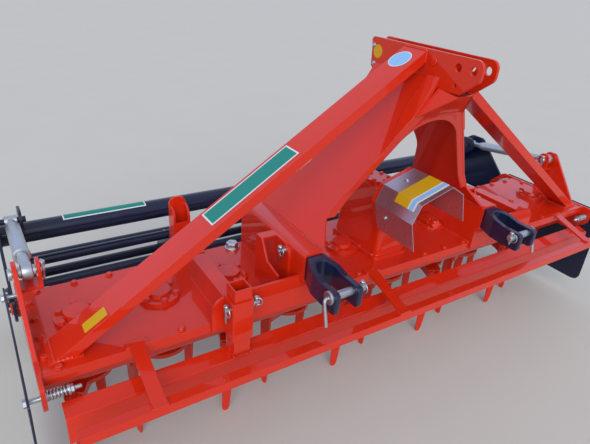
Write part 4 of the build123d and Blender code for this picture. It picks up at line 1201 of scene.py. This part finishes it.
@dataclass
class Fittings:
    """Plated small parts on the frame: the filler plug, the post's cross pin, the stand pins, and the bolts
    of the hood and of the bracket, with the bracket's painted bosses. A profile's row is a radius and a
    height, and the other tables of a turned part are what its button takes."""

    plug: Pair = (-0.526, 0.174)
    plug_flange: tuple[float, ...] = (0.029, 0.006, 0.02697, 0.0024)
    plug_hex: tuple[Pair, ...] = ((0.0, 0.006), (0.024, 0.006), (0.024, 0.021), (0.02064, 0.024),
                                  (0.0096, 0.024), (0.00864, 0.021), (0.0, 0.021))
    post: Triple = (-0.715, -0.262, 0.588)
    sleeve: float = 0.0344
    post_pin: float = 0.0075
    post_point: Pair = (0.8, 0.0015)
    post_ends: tuple[Pair, ...] = ((-1.0, 0.016), (1.0, 0.030))
    post_head: tuple[float, ...] = (0.012, 0.0075, 0.010, 0.0015)
    post_head_out: float = 0.004
    post_lynch: tuple[tuple[LynchPin, float, Triple], ...] = (
        (LynchPin(length=0.052, ring=0.016), -0.010, FORWARD),
        (LynchPin(length=0.024, ring=0.012, wire=0.0026), 0.022, (0.8, -0.6, 0.0)))
    stand: Triple = (0.484, -0.128, 0.655)
    stand_pin: tuple[float, ...] = (0.0078, 0.036, 0.00624, 0.002)
    stand_in: float = 0.012
    stand_washer: Pair = (0.014, 0.002)
    stand_lynch: LynchPin = LynchPin(length=0.046, ring=0.015)
    stand_lynch_out: float = 0.016
    seat: float = 0.9
    hood_bolts: tuple[Triple, ...] = ((0.0, -0.198, 0.1265), (-0.1195, -0.209, 0.031),
                                      (0.1195, -0.209, 0.031))
    dome: tuple[Pair, ...] = ((0.0, 0.0), (0.0105, 0.0), (0.0105, 0.0016), (0.007, 0.0016), (0.0068, 0.0045),
                              (0.0045, 0.0066), (0.0, 0.0072))
    bracket_bolts: tuple[Pair, ...] = ((0.070, 1.274), (0.060, 1.214))
    bracket_head: tuple[Pair, ...] = ((0.0, 0.0), (0.0085, 0.0), (0.0085, 0.0012), (0.0065, 0.0012),
                                      (0.0065, 0.0045), (0.0055, 0.0055), (0.0, 0.0055))
    boss: tuple[float, ...] = (0.0145, 0.0045, 0.013, 0.0015)
    boss_at: Pair = (-0.215, 1.270)

    def filler(self, skin: Skin) -> None:
        """Adds the filler plug: a flange and a tall hexagon with a chamfered crown."""
        place = (self.plug[0], row(self.plug[1]), COVER_TOP)
        skin.turned(button(*self.plug_flange), place, UP, sides=36).turned(self.plug_hex, place, UP, HEXAGON)

    def post_pins(self, skin: Skin) -> None:
        """Adds the two ends of the post's cross pin, the head on its right end and a lynch pin through each.

        Args:
            skin: where the surfaces go.
        """
        x, y, z = self.post[0], row(self.post[1]), self.post[2]
        r = self.post_pin
        for sign, reach in self.post_ends:
            end = button(r, reach, r * self.post_point[0], self.post_point[1])
            skin.turned(end, (x + sign * self.sleeve, y, z), (sign, 0.0, 0.0), sides=18)
        head = (x + self.sleeve + self.post_head_out, y, z)
        skin.turned(button(*self.post_head), head, Side.RIGHT.out, sides=20)
        for lynch, out, lean in self.post_lynch:
            lynch.add(skin, (x + math.copysign(self.sleeve, out) + out, y, z + r * self.seat), lean)

    def stand_pins(self, skin: Skin) -> None:
        """Adds the spring pin in each stand bracket's hole, with its washer and its lynch pin.

        Args:
            skin: where the surfaces go.
        """
        x, y, z = self.stand
        up = z + self.stand_pin[0] * self.seat
        for side in Side:
            skin.turned(button(*self.stand_pin), side.at(x - self.stand_in, y, z), side.out, sides=18)
            skin.turned(button(*self.stand_washer), side.at(x, y, z), side.out)
            self.stand_lynch.add(skin, side.at(x + self.stand_lynch_out, y, up), FORWARD)

    def hood_fixings(self, skin: Skin) -> None:
        """Adds the hood's bolts: a washer and a domed head on each sheet, rolled about the shaft with it.

        Args:
            skin: where the surfaces go.
        """
        for across, y, height in self.hood_bolts:
            x, z = rolled(across, height)
            way = (0.0, 1.0) if across == 0.0 else (math.copysign(1.0, across), 0.0)
            out_x, out_z = rolled(*way)
            skin.turned(self.dome, (x, row(y), SHAFT_Z + z), (out_x, 0.0, out_z), sides=20)

    def bracket_fixings(self, skin: Skin) -> None:
        """Adds two bolt heads near the rear edge of each bracket plate.

        Args:
            skin: where the surfaces go.
        """
        for side in Side:
            for y, z in self.bracket_bolts:
                skin.turned(self.bracket_head, side.at(BRACKET_FACE, y, z), side.out, sides=12)

    def build(self) -> None:
        """Makes the painted bosses of the bracket as one piece, and the plated parts as another."""
        bosses = Skin()
        for side in Side:
            bosses.turned(button(*self.boss), side.at(BRACKET_FACE, *self.boss_at), side.out, sides=28)
        bosses.build("bracket_bosses", RED_PAINT, "frame", Slot.RED)
        skin = Skin()
        for add in (self.bracket_fixings, self.filler, self.post_pins, self.stand_pins, self.hood_fixings):
            add(skin)
        skin.build("plated_fittings", ZINC_PLATE, "frame", Slot.ZINC)


@dataclass
class GearboxBolts:
    """Bolt heads on the gearbox: rings on its lid, face plate boss and rear cover, and rows on its foot."""

    top: float = 0.800
    lid: float = 0.042
    foot: Pair = (0.078, 0.530)
    foot_rows: tuple[float, float, int] = (-0.128, 0.100, 4)
    middle: float = -0.014
    boss: float = 0.053
    boss_y: float = -0.186
    cover: Pair = (0.053, 0.650)
    cover_y: float = 0.144
    ring_count: int = 6
    head: tuple[Pair, ...] = ((0.0, 0.0), (0.00975, 0.0), (0.00975, 0.0014), (0.0078, 0.0014),
                              (0.0078, 0.0052), (0.006396, 0.0065), (0.0, 0.0065))

    def build(self) -> None:
        """Makes all heads as one piece, each ring of them from one angle table."""
        skin = Skin()
        for angle in around(self.ring_count) + RING_START:
            c, s = math.cos(angle), math.sin(angle)
            r, z = self.cover
            for place, out in (((self.lid * c, row(self.middle) + self.lid * s, self.top), UP),
                               ((self.boss * c, row(self.boss_y), SHAFT_Z + self.boss * s), FORWARD),
                               ((r * c, row(self.cover_y), z + r * s), REARWARD)):
                skin.turned(self.head, place, out, HEXAGON)
        for side in Side:
            for y in np.linspace(*self.foot_rows):
                skin.turned(self.head, side.at(self.foot[0], y, self.foot[1]), UP, HEXAGON)
        skin.build("gearbox_bolts", RED_PAINT, "frame", Slot.RED)


@dataclass
class WeldBeads:
    """Painted weld beads where plates and tubes of the frame meet."""

    box: tuple[Pair, Pair] = ((0.396, 0.476), (-0.208, 0.196))
    leg: tuple[Triple, Triple] = ((0.406, -0.125, 0.689), (0.406, 0.178, 0.689))
    beam: tuple[Pair, float] = ((0.695, 0.745), 0.045)
    front: float = -0.212
    rear: float = 0.200
    stay: tuple[Pair, Pair] = ((1.1705, 1.220), (-0.181, -0.079))
    stay_pad: float = 0.522
    head: Pair = (1.257, 1.296)
    strap: float = 0.020
    strap_run: float = 0.030
    guard: Pair = (-0.375, 0.460)
    post: Triple = (-0.715, -0.2627, 0.426)
    post_half: float = 0.028
    post_fall: float = -0.004
    post_rise: float = 0.003
    post_size: float = 0.0035

    def side_lines(self, side: Side) -> list[tuple[Triple, Triple, Triple]]:
        """Beads of one side of the frame.

        Args:
            side: left or right.

        Returns:
            Start, end and guide of each bead.
        """
        at, cover, pad = side.at, COVER_TOP, self.stay_pad
        (x0, x1), (y0, y1) = self.box
        rows = [(at(x, y0, cover), at(x, y1, cover), UP) for x in (x0, x1)]
        rows += [(at(x0, y1, cover), at(x1, y1, cover), UP), (at(*self.leg[0]), at(*self.leg[1]), UP)]
        beams, back = self.beam
        rows += [(at(x, self.front, cover), at(x, back, cover), UP) for x in beams]
        rows.append((at(END_WALL, self.front, cover), at(END_WALL, self.rear, cover), UP))
        (x0, x1), (y0, y1) = self.stay
        rows += [(at(x0, y, pad), at(x1, y, pad), UP) for y in (y0, y1)]
        rows += [(at(x, y0, pad), at(x, y1, pad), UP) for x in (x0, x1)]
        low, top = self.head
        rows += [(at(BRACKET_FACE, y, low), at(BRACKET_FACE, y, top), REARWARD) for y in (y0, y1)]
        rows.append((at(BRACKET_FACE, y0, top), at(BRACKET_FACE, y1, top), UP))
        return rows

    def strap_lines(self) -> list[tuple[Triple, Triple, Triple]]:
        """Beads round the foot of each strap on the guard tube.

        Returns:
            Start, end and guide of each bead.
        """
        y, z = row(self.guard[0]), self.guard[1]
        ahead = row(self.guard[0] - self.strap_run)
        rows = []
        for x in STRAPS:
            rows += [((x + d, y, z), (x + d, ahead, z), UP) for d in (-self.strap, self.strap)]
            rows.append(((x - self.strap, y, z), (x + self.strap, y, z), UP))
        return rows

    def post_beads(self) -> Skin:
        """Beads round the levelling bar's post, which follow the bar's two slopes.

        Returns:
            The skin of the four beads.
        """
        (x, y, z), h = self.post, self.post_half
        front, back = (row(y - h), z + self.post_fall), (row(y + h), z + self.post_rise)
        skin = Skin()
        for end in (front, back):
            skin.weld((x - h, *end), (x + h, *end), UP, self.post_size)
        for edge in (x - h, x + h):
            skin.weld((edge, *front), (edge, *back), Side.RIGHT.out, self.post_size)
        return skin

    def build(self) -> None:
        """Makes the frame's beads as one piece, and the levelling bar's own as another."""
        skin = Skin()
        lines = self.side_lines(Side.LEFT) + self.side_lines(Side.RIGHT) + self.strap_lines()
        for start, end, guide in lines:
            skin.weld(start, end, guide)
        skin.build("frame_welds", RED_PAINT, "frame", Slot.RED)
        self.post_beads().build("post_welds", RED_PAINT, "levelling_bar", Slot.RED)


@dataclass
class RollerFittings:
    """Bearing flanges with their bolts on the roller's arms, and the weld rings of its cross tube."""

    face: float = 1.286
    inner: float = 1.2756
    drum: Pair = (0.680, 0.180)
    half: float = 0.044
    corner: float = 0.016
    thick: float = 0.006
    cap: tuple[Pair, ...] = ((0.0, 0.0), (0.030, 0.0), (0.029, 0.007), (0.024, 0.011), (0.006, 0.012),
                             (0.0, 0.012))
    bolt: tuple[float, ...] = (0.0075, 0.0065, 0.0062, 0.0015)
    bolt_at: float = 0.032
    bead: float = 0.0038

    def flange(self, side: Side) -> bpy.types.Object:
        """The flange of a side, with a turned cap and four bolts.

        Args:
            side: left or right.

        Returns:
            The new object.
        """
        y, z = self.drum
        square = np.array(((-1, -1), (1, -1), (1, 1), (-1, 1)))
        outline = rounded(square * self.half + (row(y), z), np.full(4, self.corner), steps=6)
        outside = self.face + self.thick
        skin = Skin().plate(outline, *sorted((side.value * self.face, side.value * outside)))
        skin.turned(self.cap, side.at(outside, y, z), side.out, sides=36)
        for dy in (-self.bolt_at, self.bolt_at):
            for dz in (-self.bolt_at, self.bolt_at):
                skin.turned(button(*self.bolt), side.at(outside, y + dy, z + dz), side.out, HEXAGON)
        return skin.build(f"roller_bearing_{side.word}", NAVY_PAINT, "roller_frame", Slot.NAVY)

    def build(self) -> None:
        """Makes both flanges and both weld rings."""
        rings = Skin()
        for side in Side:
            self.flange(side)
            centre = side.at(self.inner, *ROLLER_TUBE)
            rings.grid(torus(centre, REARWARD, UP, ROLLER_TUBE_RADIUS, self.bead), wrap_rows=True)
        rings.build("roller_welds", NAVY_PAINT, "roller_frame", Slot.NAVY)


@dataclass
class Studio:
    """Pale floor, soft light and the camera at the viewing angle of the picture. The camera's focal length
    and width are in pixels and its angles in degrees. The surround's stops are heights with a colour."""

    azimuth: float = -34.603
    elevation: float = 27.18
    roll: float = 4.785
    place: Triple = (-1.286, -1.556, 1.509)
    focal: float = 503.089
    width: float = 590.0
    sensor: float = 36.0
    clip: Pair = (0.05, 400.0)
    key_energy: float = 2.0
    key_angle: float = 50.0
    key_colour: Triple = (1.0, 0.94, 0.86)
    key_way: Triple = (0.45, 0.80, -0.55)
    surround: tuple[tuple[float, Triple], ...] = (
        (0.0, (0.58, 0.60, 0.62)), (0.12, (0.58, 0.61, 0.66)), (0.42, (0.84, 0.94, 1.36)),
        (0.75, (0.62, 0.67, 0.82)), (1.0, (0.66, 0.69, 0.77)))
    surround_strength: float = 0.85
    floor_half: float = 150.0

    def camera(self) -> None:
        """Places the camera: its back axis from azimuth and elevation, the other two turned by the roll."""
        a, e, r = (math.radians(v) for v in (self.azimuth, self.elevation, self.roll))
        back = Vector((math.sin(a) * math.cos(e), -math.cos(a) * math.cos(e), math.sin(e)))
        right = (-back).cross(Vector(UP)).normalized()
        up = right.cross(-back)
        across = math.cos(r) * right + math.sin(r) * up
        top = -math.sin(r) * right + math.cos(r) * up
        data = bpy.data.cameras.new("camera")
        data.sensor_fit = "HORIZONTAL"
        data.sensor_width = self.sensor
        data.lens = self.sensor * self.focal / self.width
        data.clip_start, data.clip_end = self.clip
        eye = bpy.data.objects.new("camera", data)
        eye.matrix_world = Matrix.Translation(self.place) @ Matrix((across, top, back)).transposed().to_4x4()
        bpy.context.scene.collection.objects.link(eye)
        bpy.context.scene.camera = eye

    def key(self) -> None:
        """Adds one wide soft key light."""
        light = bpy.data.lights.new("soft_key", "SUN")
        light.energy = self.key_energy
        light.angle = math.radians(self.key_angle)
        light.color = self.key_colour
        lamp = bpy.data.objects.new("soft_key", light)
        lamp.rotation_mode = "QUATERNION"
        lamp.rotation_quaternion = Vector(self.key_way).to_track_quat("-Z", "Y")
        bpy.context.scene.collection.objects.link(lamp)

    def backdrop(self) -> None:
        """Adds the surround, whose colour changes with the height from the floor line to straight above."""
        world = bpy.data.worlds.new("surround")
        world.use_nodes = True
        nodes = world.node_tree.nodes
        parts = nodes.new("ShaderNodeSeparateXYZ")
        wired(parts, {"Vector": nodes.new("ShaderNodeTexCoord").outputs["Generated"]})
        ramp = wired(nodes.new("ShaderNodeValToRGB"), {"Fac": parts.outputs["Z"]})
        stops = ramp.color_ramp.elements
        for height, _ in self.surround[2:]:
            stops.new(height)
        for stop, (height, colour) in zip(stops, self.surround):
            stop.position = height
            stop.color = (*colour, 1.0)
        wired(nodes["Background"], {"Strength": self.surround_strength, "Color": ramp.outputs["Color"]})
        bpy.context.scene.world = world
        bpy.context.scene.view_settings.view_transform = "Standard"

    def floor(self) -> None:
        """Lays the pale floor, which isn't part of the machine."""
        h = self.floor_half
        mesh = bpy.data.meshes.new("floor")
        mesh.from_pydata([(-h, -h, 0.0), (h, -h, 0.0), (h, h, 0.0), (-h, h, 0.0)], [], [(0, 1, 2, 3)])
        mesh.materials.append(FLOOR_PAINT.material())
        floor = bpy.data.objects.new("floor", mesh)
        bpy.context.scene.collection.objects.link(floor)

    def build(self) -> None:
        """Sets the whole stage."""
        self.floor()
        self.key()
        self.backdrop()
        self.camera()


def main() -> None:
    """Dresses the frame, builds the fittings in order and sets the stage."""
    logging.basicConfig(level=logging.INFO, format="%(name)s %(message)s")
    FrameFinishes().dress()
    for part in (Tines(), TineBolts(), CoverBolts(), Deflectors(), HitchPins(), LinkForks(), InputShaft(),
                 Labels(), Fittings(), GearboxBolts(), WeldBeads(), RollerFittings()):
        part.build()
        LOG.info("%s built", type(part).__name__)
    Studio().build()


if __name__ == "__main__":
    main()
